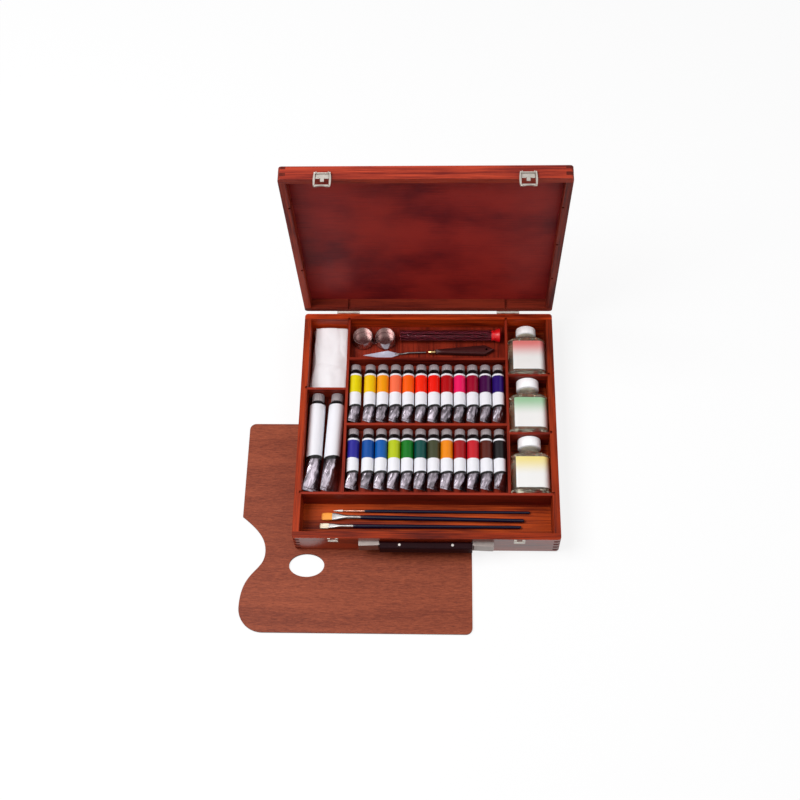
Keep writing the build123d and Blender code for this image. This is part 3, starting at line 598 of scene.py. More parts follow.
def tube_finish(name, centre_x, start, tubes, paint, edges):
    """Enamelled aluminium: bands of paint colour, white and dark, then bare creased metal with painted
    reflections.
    """
    collar_end, colour_start, colour_end, ring_start, ring_end = edges
    finish = Finish(name)
    place = finish.coordinates()
    x, y, _ = finish.split(place)
    along = start - y
    soft = 0.25 * MM

    def past(edge, slant=0.0):
        moved = along + (x - centre_x) * slant
        return finish.between(moved, edge - soft, edge + soft)

    offset = (centre_x * 900, 0, 0)
    leaning = finish.turned(place, (0, 0, radians(18)))
    crinkle = finish.noise(leaning, (0.16, 0.03, 0.08), offset, detail=3)
    crease = 1 - finish.between(abs(crinkle - 0.5), 0.0, 0.05)
    cells = finish.scaled(leaning, (0.16, 0.04, 0.08), offset)
    facets = finish.node("TexVoronoi", {}, {"Vector": cells, "Scale": 1.0})
    # Painted reflections on the bare metal: light and dark patches along the crinkles, painted darker
    # (smooth) next to the dark ring and painted lighter (folded) towards the crimp.
    tone = finish.between(crinkle, 0.3, 0.7)
    smooth = finish.mix(tone, times(0.22, tubes.metal), times(0.66, tubes.metal))
    folded = finish.mix(tone, times(0.5, tubes.metal), times(1.5, tubes.metal))
    metal = finish.mix(finish.between(along, ring_end, ring_end + 22 * MM), smooth, folded)
    # shine is a painted sheen: the paint band a little darker along the crinkles.
    shine = finish.mix(crinkle, times(0.93, paint), paint)
    colour = finish.mix(past(collar_end), tubes.collar, tubes.enamel)
    if colour_end > colour_start:
        colour = finish.mix(past(colour_start), colour, shine)
        colour = finish.mix(past(colour_end), colour, tubes.enamel)
    colour = finish.mix(past(ring_start, 0.14), colour, tubes.collar)
    bare = past(ring_end, 0.14)
    colour = finish.mix(bare, colour, metal)
    dents = crinkle * 0.5 + facets * 0.5 + crease * 0.25
    return finish.surface(
        Base_Color=colour,
        Metallic=bare,
        Roughness=0.28 - bare * 0.08 + crinkle * 0.06,
        Normal=finish.bump(dents * (0.06 + bare * 0.94), 1.2 * MM, 0.35),
        Specular_IOR_Level=0.22,
        Coat_Weight=0.1 - bare * 0.1,
        Coat_Roughness=0.12,
    )


def glass_finish(name, colour):
    """Clear glass or plastic, full of what it holds."""
    finish = Finish(name)
    waves = finish.noise(finish.coordinates(), 0.05, detail=2)
    return finish.surface(
        Base_Color=colour,
        Roughness=0.02,
        IOR=1.4,
        Transmission_Weight=0.92,
        Normal=finish.bump(waves, 0.4 * MM, 0.3),
    )


def label_finish(name, start, length, strong, pale):
    """Printed paper that fades from a strong tint at the neck to a pale foot."""
    finish = Finish(name)
    place = finish.coordinates()
    share = (start - finish.split(place)[1]) / length
    fibres = finish.noise(place, 0.9, detail=5)
    colour = finish.mix(finish.between(share, 0.02, 0.62), strong, pale)
    shade = finish.mix(fibres * 0.1, colour, (0.5, 0.5, 0.5))
    return finish.surface(
        Base_Color=shade,
        Roughness=0.3 + fibres * 0.15,
        Normal=finish.bump(fibres, 0.02 * MM, 0.4),
        Coat_Weight=0.3,
        Coat_Roughness=0.1,
    )


def cotton_finish(name, colour):
    """Plain-woven white cotton."""
    finish = Finish(name)
    place = finish.coordinates()
    x, y, _ = finish.split(place)
    thread = 0.7 * MM
    warp = finish.node("Math", {"operation": "SINE"}, {0: x * (TURN / thread)})
    weft = finish.node("Math", {"operation": "SINE"}, {0: y * (TURN / thread)})
    weave = warp * weft
    cloud = finish.noise(place, 0.05, detail=4)
    shade = finish.mix(cloud * 0.25, colour, times(0.85, colour))
    return finish.surface(
        Base_Color=shade,
        Roughness=0.85 + weave * 0.05,
        Normal=finish.bump(weave, 0.12 * MM, 0.6),
        Sheen_Weight=0.3,
        Sheen_Roughness=0.5,
    )


def hair_finish(name, colour, root):
    """Brush hair: fine lines along the tuft, some of them darker."""
    finish = Finish(name)
    place = finish.coordinates()
    lines = finish.noise(place, (0.1, 4.0, 4.0), detail=4)
    colour = finish.mix(finish.between(lines, 0.2, 0.6), root, colour)
    return finish.surface(Base_Color=colour, Roughness=0.5, Normal=finish.bump(lines, 0.1 * MM, 0.5))


# Pieces


class PieceOperator:
    """What the operators share."""

    bl_options = {"REGISTER", "UNDO"}


class PAINTSET_OT_case(PieceOperator, bpy.types.Operator):
    """Stain and varnish the case, its panels and its dividers, with painted light and shade on each piece"""

    bl_idname = "paint_set.case"
    bl_label = "Stain the case"

    def execute(self, context):
        case = settings_of(context, "case")
        wall = case.wall_light, case.wall_dark
        tray = case.tray_light, case.tray_dark
        lid = case.lid_light, case.lid_dark
        panel = case.panel_light, case.panel_dark
        inside = case.divider_light, case.divider_dark
        # Columns: node, grain axis, stain pair, painted light factor, evenness, gloss on front faces. The
        # painted light factor lightens or darkens the stain pair of one piece for how the light falls on it:
        # painted light on the back wall, where the lid shades it, and painted shade on the lid's back and
        # right walls.
        stains_and_painted_light = (
            ("base_front_wall", "x", wall, 0.88, 0.0, 0.85),
            ("base_back_wall", "x", wall, 1.6, 0.0, 0.0),
            ("base_left_wall", "y", wall, 1.0, 0.0, 0.0),
            ("base_right_wall", "y", wall, 0.8, 0.0, 0.0),
            ("lid_front_wall", "x", lid, 1.15, 0.0, 0.0),
            ("lid_back_wall", "x", lid, 0.6, 0.0, 0.0),
            ("lid_left_wall", "y", lid, 1.0, 0.0, 0.0),
            ("lid_right_wall", "y", lid, 0.65, 0.0, 0.0),
            ("lid_panel", "x", panel, 1.0, 0.9, 0.0),
            ("base_bottom", "x", tray, 0.9, 0.0, 0.0),
            ("raised_floor", "y", inside, 0.9, 0.0, 0.0),
            ("front_divider", "x", inside, 1.0, 0.0, 0.0),
            ("long_dividers", "y", inside, 1.0, 0.0, 0.0),
            ("cross_dividers", "x", inside, 1.0, 0.0, 0.0),
        )
        end, rough = case.end_grain, case.varnish_roughness
        for seed, (node, grain, stain, tone, evenness, gloss) in enumerate(stains_and_painted_light):
            # tone is the painted light factor of the piece: painted light or shade, not a stain of its own
            light, dark = (times(tone, colour) for colour in stain)
            turn = LID_ANGLE if node.startswith("lid") else 0.0
            paint_node(node, wood_finish(node, grain, light, dark, end, rough, seed, turn, evenness, gloss))
        return {"FINISHED"}


def screw_head(name, place, outward, radius, material, host):
    """A countersunk screw head with a cross, set in a face that looks along outward."""
    side = Vector((1, 0, 0))
    up = outward.cross(side)
    count = 32

    def ring(reach, depth, crossed=False):
        points = []
        for i in range(count):
            angle = TURN * i / count
            arm = 0.25 + 0.75 * max(abs(cos(angle)), abs(sin(angle))) ** 6 if crossed else 1.0
            points.append(place + (side * cos(angle) + up * sin(angle)) * (reach * arm) + outward * depth)
        return points

    rings = [
        ring(radius, -0.3 * MM),
        ring(radius, 0.05 * MM),
        ring(0.9 * radius, 0.25 * MM),
        ring(0.62 * radius, 0.3 * MM, crossed=True),
        ring(0.5 * radius, -0.5 * MM, crossed=True),
    ]
    add_skin(name, host, rings, material, 30, stands_in=False)


class PAINTSET_OT_hardware(PieceOperator, bpy.types.Operator):
    """Plate the hinges, latches, keepers, brackets and grip, colour the grip's pins and rivets, and add
    screws
    """

    bl_idname = "paint_set.hardware"
    bl_label = "Fit the hardware"

    def execute(self, context):
        case = settings_of(context, "case")
        steel = case.steel
        hinge_steel = metal_finish("hinge_steel", steel, 0.3, (0.05, 3.0, 3.0))
        latch_steel = metal_finish("latch_steel", steel, 0.3, (3.0, 0.08, 0.08))
        for node in ("hinge_base_leaves", "hinge_lid_leaves", "hinge_pins"):
            paint_node(node, hinge_steel)
        for node in ("latch_plates", "latch_keepers", "latch_frame_left", "latch_frame_right"):
            paint_node(node, latch_steel)
        paint_node("handle_brackets", metal_finish("bracket_nickel", tint(146, 136, 132), 0.36))
        self.grip(case)
        self.hinge_screws(case, metal_finish("screw_steel", steel, 0.32))
        return {"FINISHED"}

    def grip(self, case):
        """Dark moulded grip with steel pins at its ends and two rivets on top."""
        low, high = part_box("handle_grip")
        pin_reach, rivet_height = 3.6 * MM, 0.6 * MM
        finish = Finish("grip_and_pins")
        place = finish.coordinates()
        x, _, z = finish.split(place)
        middle = (low.x + high.x) / 2
        pins = abs(x - middle) > (high.x - low.x) / 2 - pin_reach
        steel = finish.sum("MAXIMUM", pins, z > high.z - 0.95 * rivet_height)
        fine = finish.noise(place, 1.6, detail=3)
        cloud = finish.noise(place, 0.1, detail=4)
        dark = finish.mix(cloud, times(0.55, case.grip), times(1.3, case.grip))
        material = finish.surface(
            Base_Color=finish.mix(steel, dark, tint(184, 178, 174)),
            Metallic=steel,
            Roughness=0.36 + cloud * 0.12,
            Specular_IOR_Level=0.07,
            Normal=finish.bump(fine, 0.04 * MM, 0.6),
        )
        paint_node("handle_grip", material)

    def hinge_screws(self, case, material):
        """Three screws in each hinge leaf, on the back of the case and of the lid."""
        pin_low, pin_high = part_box("hinge_pins")
        hinge_width = 37 * MM
        axis = Vector(JOINTS["lid_hinge"]["pos_m"])
        to_lid = Matrix.Rotation(-LID_ANGLE, 3, "X")
        leaf_face = 2.05 * MM
        for side, left in (("left", pin_low.x), ("right", pin_high.x - hinge_width)):
            for i in range(3):
                x = left + hinge_width * (0.16 + 0.34 * i)
                drop = (10.6 if i != 1 else 7.4) * MM
                pin = Vector((x, axis.y, axis.z))
                for half, turn, along in (("base", Matrix.Identity(3), -drop), ("lid", to_lid, drop)):
                    place = pin + turn @ Vector((0, -leaf_face, along))
                    outward = turn @ Vector((0, 1, 0))
                    name, host = f"hinge_screw_{half}_{side}_{i}", f"hinge_{half}_leaves"
                    screw_head(name, place, outward, case.screw_radius, material, host)


class PAINTSET_OT_palette(PieceOperator, bpy.types.Operator):
    """Veneer and oil the palette"""

    bl_idname = "paint_set.palette"
    bl_label = "Finish the palette"

    def execute(self, context):
        palette = settings_of(context, "palette")
        low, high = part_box("palette")
        material = ply_edge_finish(
            "palette_ply", palette.light, palette.dark, palette.edge, high.z, high.z - low.z
        )
        paint_node("palette", material)
        return {"FINISHED"}


def doubled_strip(length, gap):
    """Points (along, height) of a strip folded back on itself, with its fold at the far end."""
    steps = 64
    bend_steps = 6
    straight = length - gap / 2
    points = [(straight * i / steps, gap / 2) for i in range(steps + 1)]
    for i in range(1, bend_steps):
        angle = pi / 2 - pi * i / bend_steps
        points.append((straight + gap / 2 * cos(angle), gap / 2 * sin(angle)))
    points += [(straight * (1 - i / steps), -gap / 2) for i in range(steps + 1)]
    return points


def pleat(width, pitch, count):
    """Points and normals (x, z, nx, nz) of a strip folded to and fro into layers."""
    steps = 44
    bend_steps = 8
    run = width - pitch
    points = []
    for layer in range(count):
        z = layer * pitch
        forward = layer % 2 == 0
        for i in range(steps + 1):
            x = run * (i / steps - 0.5)
            points.append((x if forward else -x, z, 0.0, 1.0 if forward else -1.0))
        if layer < count - 1:
            side = 1 if forward else -1
            for i in range(1, bend_steps):
                angle = -pi / 2 + pi * i / bend_steps
                out, up = cos(angle), sin(angle)
                bend_x, bend_z = side * (run / 2 + pitch / 2 * out), z + pitch / 2 + pitch / 2 * up
                points.append((bend_x, bend_z, -side * out, -up))
    return points


class PAINTSET_OT_cloth(PieceOperator, bpy.types.Operator):
    """Fold the cleaning cloth into its pad"""

    bl_idname = "paint_set.cloth"
    bl_label = "Fold the cloth"

    def execute(self, context):
        cloth = settings_of(context, "cloth")
        low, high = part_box("cleaning_cloth")
        size = high - low
        pitch = size.z / cloth.layers
        gap = pitch / 2
        across = pleat(size.x, pitch, cloth.layers)
        along = doubled_strip(size.y - 2 * MM, gap)
        middle_x = (low.x + high.x) / 2
        floor_z = low.z + pitch / 2
        points = []
        for x, z, nx, nz in across:
            for reach, lift in along:
                px = middle_x + x + nx * lift
                py = high.y - MM - reach
                pz = floor_z + z + nz * lift
                share = (pz - low.z) / size.z
                wave = noise.noise(Vector((px * 38, py * 30, 3.0)))
                wave += 0.5 * noise.noise(Vector((px * 90, py * 70, 8.0)))
                sway = noise.noise(Vector((py * 26, pz * 60, 5.0)))
                edge = abs(x) / (size.x / 2)
                fold = abs(noise.noise(Vector((px * 17 + py * 9, py * 13 - px * 6, 2.0))))
                crease = max(0.0, 1 - 14 * fold) * (0.4 + abs(wave))
                pz += cloth.crumple * share * (wave - 0.5 * edge**4 - 0.5 * crease)
                px += MM * edge**2 * ((2.2 + 4.5 * sway) if px < middle_x else 0.7 * sway)
                points.append(Vector((px, py, pz)))
        faces = sheet_faces(len(across), len(along))
        piece = add_piece("folded_cloth", points, faces, cotton_finish("cotton", cloth.colour), 180)
        solid = piece.modifiers.new("thickness", "SOLIDIFY")
        solid.thickness = cloth.thickness
        solid.offset = 0.0
        dress(piece, "cleaning_cloth")
        return {"FINISHED"}


def add_cap(name, node, place, size, ribs, material):
    """A knurled cap that starts with its flat top; place takes two coordinates and the distance."""
    radius, length, depth = size
    bevel, chamfer = 0.7 * MM, 0.4 * MM
    top = ((radius * 0.55, 0.5 * MM), (radius * 0.62, 0.0), (radius - bevel, 0.0))
    side = ((radius, bevel), (radius, length - chamfer), (radius - chamfer, length))

    def wobble(i):
        return 1.0 - (depth / radius if i % 4 in (2, 3) else 0.0)

    rings = [
        round_ring(reach, 4 * ribs, slice_at(place, along), shape)
        for profile, shape in ((top, None), (side, wobble))
        for reach, along in profile
    ]
    add_skin(name, node, rings, material)


SHOULDER_DROP = 4 * MM
TUBE_FIELDS = "radius length cap_length cap_radius crimp_width crimp_length round_share turn seed"
TubeForm = namedtuple("TubeForm", TUBE_FIELDS)


def add_barrel(node, place, form, material):
    """A full metal tube: a shoulder cone, a round barrel, a pinched end and a folded crimp."""
    count, folds = 56, 3
    pinched_half, dent_depth, ripple_share = 0.9 * MM, 0.9 * MM, 0.16
    shoulder = form.cap_length + SHOULDER_DROP
    end = form.length - form.crimp_length
    pinch = form.cap_length + form.round_share * (form.length - form.cap_length)
    half = form.crimp_width / 2
    profile = [(form.cap_length, form.cap_radius - MM), (form.cap_length + MM, form.cap_radius - 0.6 * MM)]
    profile += [(shoulder - 0.6 * MM, 0.965 * form.radius), (shoulder, form.radius)]
    profile += [(shoulder + (pinch - shoulder) * i / 6, form.radius) for i in range(1, 6)]
    profile += [(pinch + (end - pinch) * i / 14, form.radius) for i in range(15)]
    rings = []
    for along, radius in profile:
        share = max(0.0, (along - pinch) / (end - pinch))
        wide = radius + (half - radius) * share
        thick = radius + (pinched_half - radius) * share**1.25
        ring = []
        for i in range(count):
            angle = TURN * i / count
            x, z = wide * cos(angle), thick * sin(angle)
            sink = share * (1 - share) * 4
            dent = noise.noise(Vector((x * 160, z * 160, along * 60 + form.seed * 9.1)))
            ripple = noise.noise(Vector((angle * 2.2 + along * 90, along * 160, form.seed * 4.7)))
            z *= 1 + sink * ripple_share * ripple
            z += sink * dent_depth * dent
            ring.append((x, z, along))
        rings.append(ring)
    for fold in range(folds):
        rise = (0.25 * MM, -0.35 * MM)[fold % 2]
        for edge, bulge in ((0.08, 0.85 * MM), (0.92, 0.7 * MM)):
            along = end + form.crimp_length * (fold + edge) / folds
            oval = round_ring(1.0, count, lambda a, b: (half * a, bulge * b))
            rings.append([(x, z + rise, along) for x, z in oval])
    c, s = cos(form.turn), sin(form.turn)
    placed = [[place(x * c - z * s, x * s + z * c, along) for x, z, along in ring] for ring in rings]
    add_skin(node + "_barrel", node, placed, material)


class PAINTSET_OT_small_tubes(PieceOperator, bpy.types.Operator):
    """Make the two rows of small paint tubes"""

    bl_idname = "paint_set.small_tubes"
    bl_label = "Make the small tubes"

    def execute(self, context):
        tubes = settings_of(context, "tubes")
        cap_plastic = plastic_finish("tube_cap_plastic", tubes.cap, 0.35)
        edges = tubes.collar_end, tubes.colour_start, tubes.colour_end, tubes.ring_start, tubes.ring_end
        for row, paints in (("back", BACK_ROW_PAINTS), ("front", FRONT_ROW_PAINTS)):
            for number, paint in enumerate(paints, 1):
                node = f"{row}_tube_{number:02d}"
                low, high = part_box(node)
                place = down_y((low + high) / 2, high.y)
                seed = number + (12 if row == "front" else 0)
                form = TubeForm(
                    tubes.radius, high.y - low.y, tubes.cap_length, tubes.cap_radius, tubes.crimp_width,
                    tubes.crimp_length, 0.72, tubes.crimp_turn - radians(3) * sin(seed * 2.4), seed,
                )
                middle = (low.x + high.x) / 2
                enamel = tube_finish(node + "_enamel", middle, high.y, tubes, tint(*paint), edges)
                add_barrel(node, place, form, enamel)
                cap = form.cap_radius, form.cap_length, 0.5 * MM
                add_cap(node + "_cap", node, place, cap, 20, cap_plastic)
        return {"FINISHED"}


class PAINTSET_OT_large_tubes(PieceOperator, bpy.types.Operator):
    """Make the two large white tubes"""

    bl_idname = "paint_set.large_tubes"
    bl_label = "Make the large tubes"

    def execute(self, context):
        tubes = settings_of(context, "tubes")
        cap_plastic = plastic_finish("large_cap_plastic", tubes.cap, 0.35)
        collar_end, large_length = tubes.large_collar_end, 168 * MM
        edges = collar_end, collar_end, collar_end, tubes.large_ring_start, tubes.large_ring_end
        for seed, (side, swing) in enumerate((("left", radians(1.2)), ("right", radians(2.5))), 40):
            node = "large_tube_" + side
            low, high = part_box(node)
            cap_radius, shoulder = tubes.large_cap_radius, tubes.large_cap_length + SHOULDER_DROP
            start_y = high.y - cap_radius * sin(swing)
            start_x = high.x - tubes.large_radius * cos(swing) + shoulder * sin(swing)
            start = Vector((start_x, start_y, (low.z + high.z) / 2))
            turn = Matrix.Rotation(-swing, 3, "Z")
            form = TubeForm(
                tubes.large_radius, large_length, tubes.large_cap_length, cap_radius, tubes.large_crimp_width,
                1.4 * tubes.crimp_length, 0.66, tubes.crimp_turn, seed,
            )

            def place(across, up, along, start=start, turn=turn):
                return start + turn @ Vector((across, -along, up))

            enamel = tube_finish(node + "_enamel", start_x, start_y, tubes, tubes.enamel, edges)
            add_barrel(node, place, form, enamel)
            cap = cap_radius, form.cap_length, 0.5 * MM
            add_cap(node + "_cap", node, place, cap, 24, cap_plastic)
        return {"FINISHED"}


BottleForm = namedtuple("BottleForm", "name cap_radius cap_length neck_length")
BOTTLES = (
    BottleForm("back", 16.2 * MM, 13 * MM, 5.5 * MM),
    BottleForm("middle", 18 * MM, 16 * MM, 8.5 * MM),
    BottleForm("front", 18 * MM, 16 * MM, 8.5 * MM),
)


class PAINTSET_OT_bottles(PieceOperator, bpy.types.Operator):
    """Make the three bottles of medium with their caps and labels"""

    bl_idname = "paint_set.bottles"
    bl_label = "Make the bottles"

    def execute(self, context):
        bottles = settings_of(context, "bottles")
        cap_plastic = plastic_finish("bottle_cap_plastic", bottles.cap, 0.35, 0.03)
        glass = glass_finish("bottle_glass", bottles.glass)
        for form, strong in zip(BOTTLES, (bottles.pink, bottles.green, bottles.yellow)):
            node = "bottle_" + form.name
            low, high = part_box(node)
            place = down_y((low + high) / 2, high.y)
            size = high - low
            self.body(node, place, size, form, bottles, glass)
            cap = form.cap_radius, form.cap_length, 0.35 * MM
            add_cap(node + "_cap", node, place, cap, 36, cap_plastic)
            start, length = low.y + bottles.label_start, bottles.label_start - bottles.label_end
            paper = label_finish(node + "_paper", start, length, strong, bottles.paper)
            self.label(node, place, size, bottles, paper)
        return {"FINISHED"}

    def body(self, node, place, size, form, bottles, material):
        """The glass: neck, shoulder, flat-sided body and rounded foot."""
        half_x, half_z = size.x / 2, size.z / 2
        rings = []

        def section(wide, thick, corner, along):
            rings.append(oblong_ring(wide, thick, corner, 64, slice_at(place, along)))

        neck = bottles.neck_radius
        neck_end = form.cap_length + form.neck_length
        section(neck, neck, neck, form.cap_length - 2 * MM)
        section(neck, neck, neck, neck_end - MM)
        for i in range(11):
            swell = sin(pi / 2 * i / 10) ** 1.3
            along = neck_end + bottles.shoulder_length * (i / 10) ** 1.4
            corner = neck + (bottles.corner_radius - neck) * swell
            section(neck + (half_x - neck) * swell, neck + (half_z - neck) * swell, corner, along)
        foot = bottles.foot_radius
        for i in range(6):
            angle = pi / 2 * i / 5
            inset = foot * (1 - cos(angle))
            along = size.y - foot + foot * sin(angle)
            section(half_x - inset, half_z - inset, bottles.corner_radius - inset, along)
        section(half_x - 3 * foot, half_z - 3 * foot, bottles.corner_radius - 3 * foot, size.y - 0.3 * MM)
        add_skin(node + "_glass", node, rings, material, 60)

    def label(self, node, place, size, bottles, material):
        """The label on the upper face, bent round the right side."""
        half_x, half_z = size.x / 2, size.z / 2
        corner = bottles.corner_radius
        lift = 0.18 * MM
        left = -half_x + bottles.label_inset
        flat_end = corner - half_x
        outline = []
        for i in range(4):
            x = left + (flat_end - left) * i / 4
            outline.append((x, half_z - corner + sqrt((corner + lift) ** 2 - (x - flat_end) ** 2)))
        outline.append((flat_end, half_z + lift))
        bend, reach = radians(100), corner + lift
        for i in range(13):
            angle = pi / 2 - bend * i / 12
            outline.append((half_x - corner + reach * cos(angle), half_z - corner + reach * sin(angle)))
        rows = 14
        points = []
        for row in range(rows + 1):
            along = size.y - bottles.label_start + (bottles.label_start - bottles.label_end) * row / rows
            points += [place(x, z, along) for x, z in outline]
        faces = sheet_faces(rows + 1, len(outline))
        dress(add_piece(node + "_label", points, faces, material, 180), node)


class PAINTSET_OT_dipper(PieceOperator, bpy.types.Operator):
    """Polish the double dipper"""

    bl_idname = "paint_set.dipper"
    bl_label = "Polish the dipper"

    def execute(self, context):
        low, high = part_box("double_dipper")
        middle = (low + high) / 2
        finish = Finish("dipper_steel")
        place = finish.coordinates()
        x, y, z = finish.split(place)
        cup_pitch = 36.5 * MM
        from_cup = abs(x - middle.x) - cup_pitch / 2
        reach = (from_cup**2 + (y - middle.y) * (y - middle.y)) ** 0.5
        rings = finish.node("Math", {"operation": "SINE"}, {0: reach * (TURN / (0.5 * MM))})
        smears = finish.noise(place, 0.14, detail=4)
        bright = finish.mix(smears, tint(168, 158, 154), tint(214, 204, 198))
        # Painted shade and painted reflection of the red case: the steel turns a darker reddish grey in the
        # lowest few millimetres of the cups and skirt.
        shade = finish.mix(finish.between(z, low.z + MM, low.z + 6 * MM), tint(138, 104, 106), bright)
        material = finish.surface(
            Base_Color=shade,
            Metallic=1.0,
            Roughness=0.2 + smears * 0.12,
            Normal=finish.bump(rings, 0.02 * MM, 0.4),
        )
        paint_node("double_dipper", material)
        return {"FINISHED"}


class PAINTSET_OT_charcoal(PieceOperator, bpy.types.Operator):
    """Make the clear tube of charcoal and its stopper"""

    bl_idname = "paint_set.charcoal"
    bl_label = "Make the charcoal tube"

    def execute(self, context):
        tools = settings_of(context, "tools")
        low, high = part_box("charcoal_tube")
        centre = (low + high) / 2
        radius, length, flare, wall = 9.5 * MM, 158 * MM, 11.3 * MM, 0.8 * MM
        place = up_x(centre, low.x)
        shell = [
            (radius - wall, 0.4 * MM),
            (radius - wall / 2, 0.0),
            (radius, wall),
            (radius, length),
            (radius - wall, length),
            (radius - wall, 2 * wall),
            (0.3 * MM, 2 * wall),
        ]
        clear = Finish("clear_tube")
        streaks = clear.noise(clear.coordinates(), (0.01, 0.5, 0.5), detail=3)
        clear_material = clear.surface(
            Base_Color=(0.92, 0.92, 0.92),
            Roughness=0.03,
            IOR=1.1,
            Transmission_Weight=1.0,
            Normal=clear.bump(streaks, 0.05 * MM, 0.2),
        )
        add_skin("charcoal_shell", "charcoal_tube", lathe(shell, 48, place), clear_material)
        self.sticks(tools, centre, low.x + 3 * wall, radius - wall, length - 6 * wall)
        stopper_length = high.x - low.x - length
        stopper = [
            (radius - wall - 0.1 * MM, -6 * MM),
            (radius - wall, 0.0),
            (radius + 0.2 * MM, 0.0),
            (radius + 0.5 * MM, 2.5 * MM),
            (flare - 0.2 * MM, 0.68 * stopper_length),
            (flare, 0.75 * stopper_length),
            (flare, stopper_length - 0.8 * MM),
            (flare - 0.8 * MM, stopper_length),
            (flare - 2.4 * MM, stopper_length),
            (flare - 3.0 * MM, stopper_length - 1.5 * MM),
            (0.3 * MM, stopper_length - 1.5 * MM),
        ]
        end = up_x(centre, low.x + length)
        red = plastic_finish("stopper_plastic", tools.stopper, 0.28)
        add_skin("charcoal_stopper", "charcoal_tube", lathe(stopper, 48, end), red, 35)
        return {"FINISHED"}

    def sticks(self, tools, centre, start, reach, length):
        """Seven charcoal sticks, one in the middle and six round it."""
        finish = Finish("charcoal")
        place = finish.coordinates()
        crumbs = finish.noise(place, (0.15, 1.2, 1.2), detail=6, roughness=0.7)
        # Random crumb tone of the charcoal, whose red tint is partly painted reflection of the red case.
        shade = finish.mix(crumbs, times(0.4, tools.charcoal), times(1.8, tools.charcoal))
        normal = finish.bump(crumbs, 0.3 * MM, 0.8)
        material = finish.surface(Base_Color=shade, Roughness=0.75, Specular_IOR_Level=0.08, Normal=normal)
        slack = 0.93
        thick = reach / 3 * slack
        around, first_angle = 6, 0.3
        for stick in range(around + 1):
            angle = TURN / around * stick + first_angle
            out = 0.0 if stick == around else 2 * reach / 3
            middle = Vector((0, centre.y + out * cos(angle), centre.z + out * sin(angle)))
            rings = []
            for i in range(25):
                along = length * i / 24 - 2 * MM * (stick % 3) * (i == 24)
                swell = 1 + 0.06 * noise.noise(Vector((stick * 5.0, i * 0.7, 1.0)))
                sway = 0.25 * MM * noise.noise(Vector((stick * 3.0, i * 0.25, 7.0)))
                bowed = Vector((start + along, middle.y + sway, middle.z))
                rings.append(round_ring(thick * swell, 14, lambda a, b, at=bowed: at + Vector((0, a, b))))
            add_skin(f"charcoal_stick_{stick}", "charcoal_tube", rings, material)


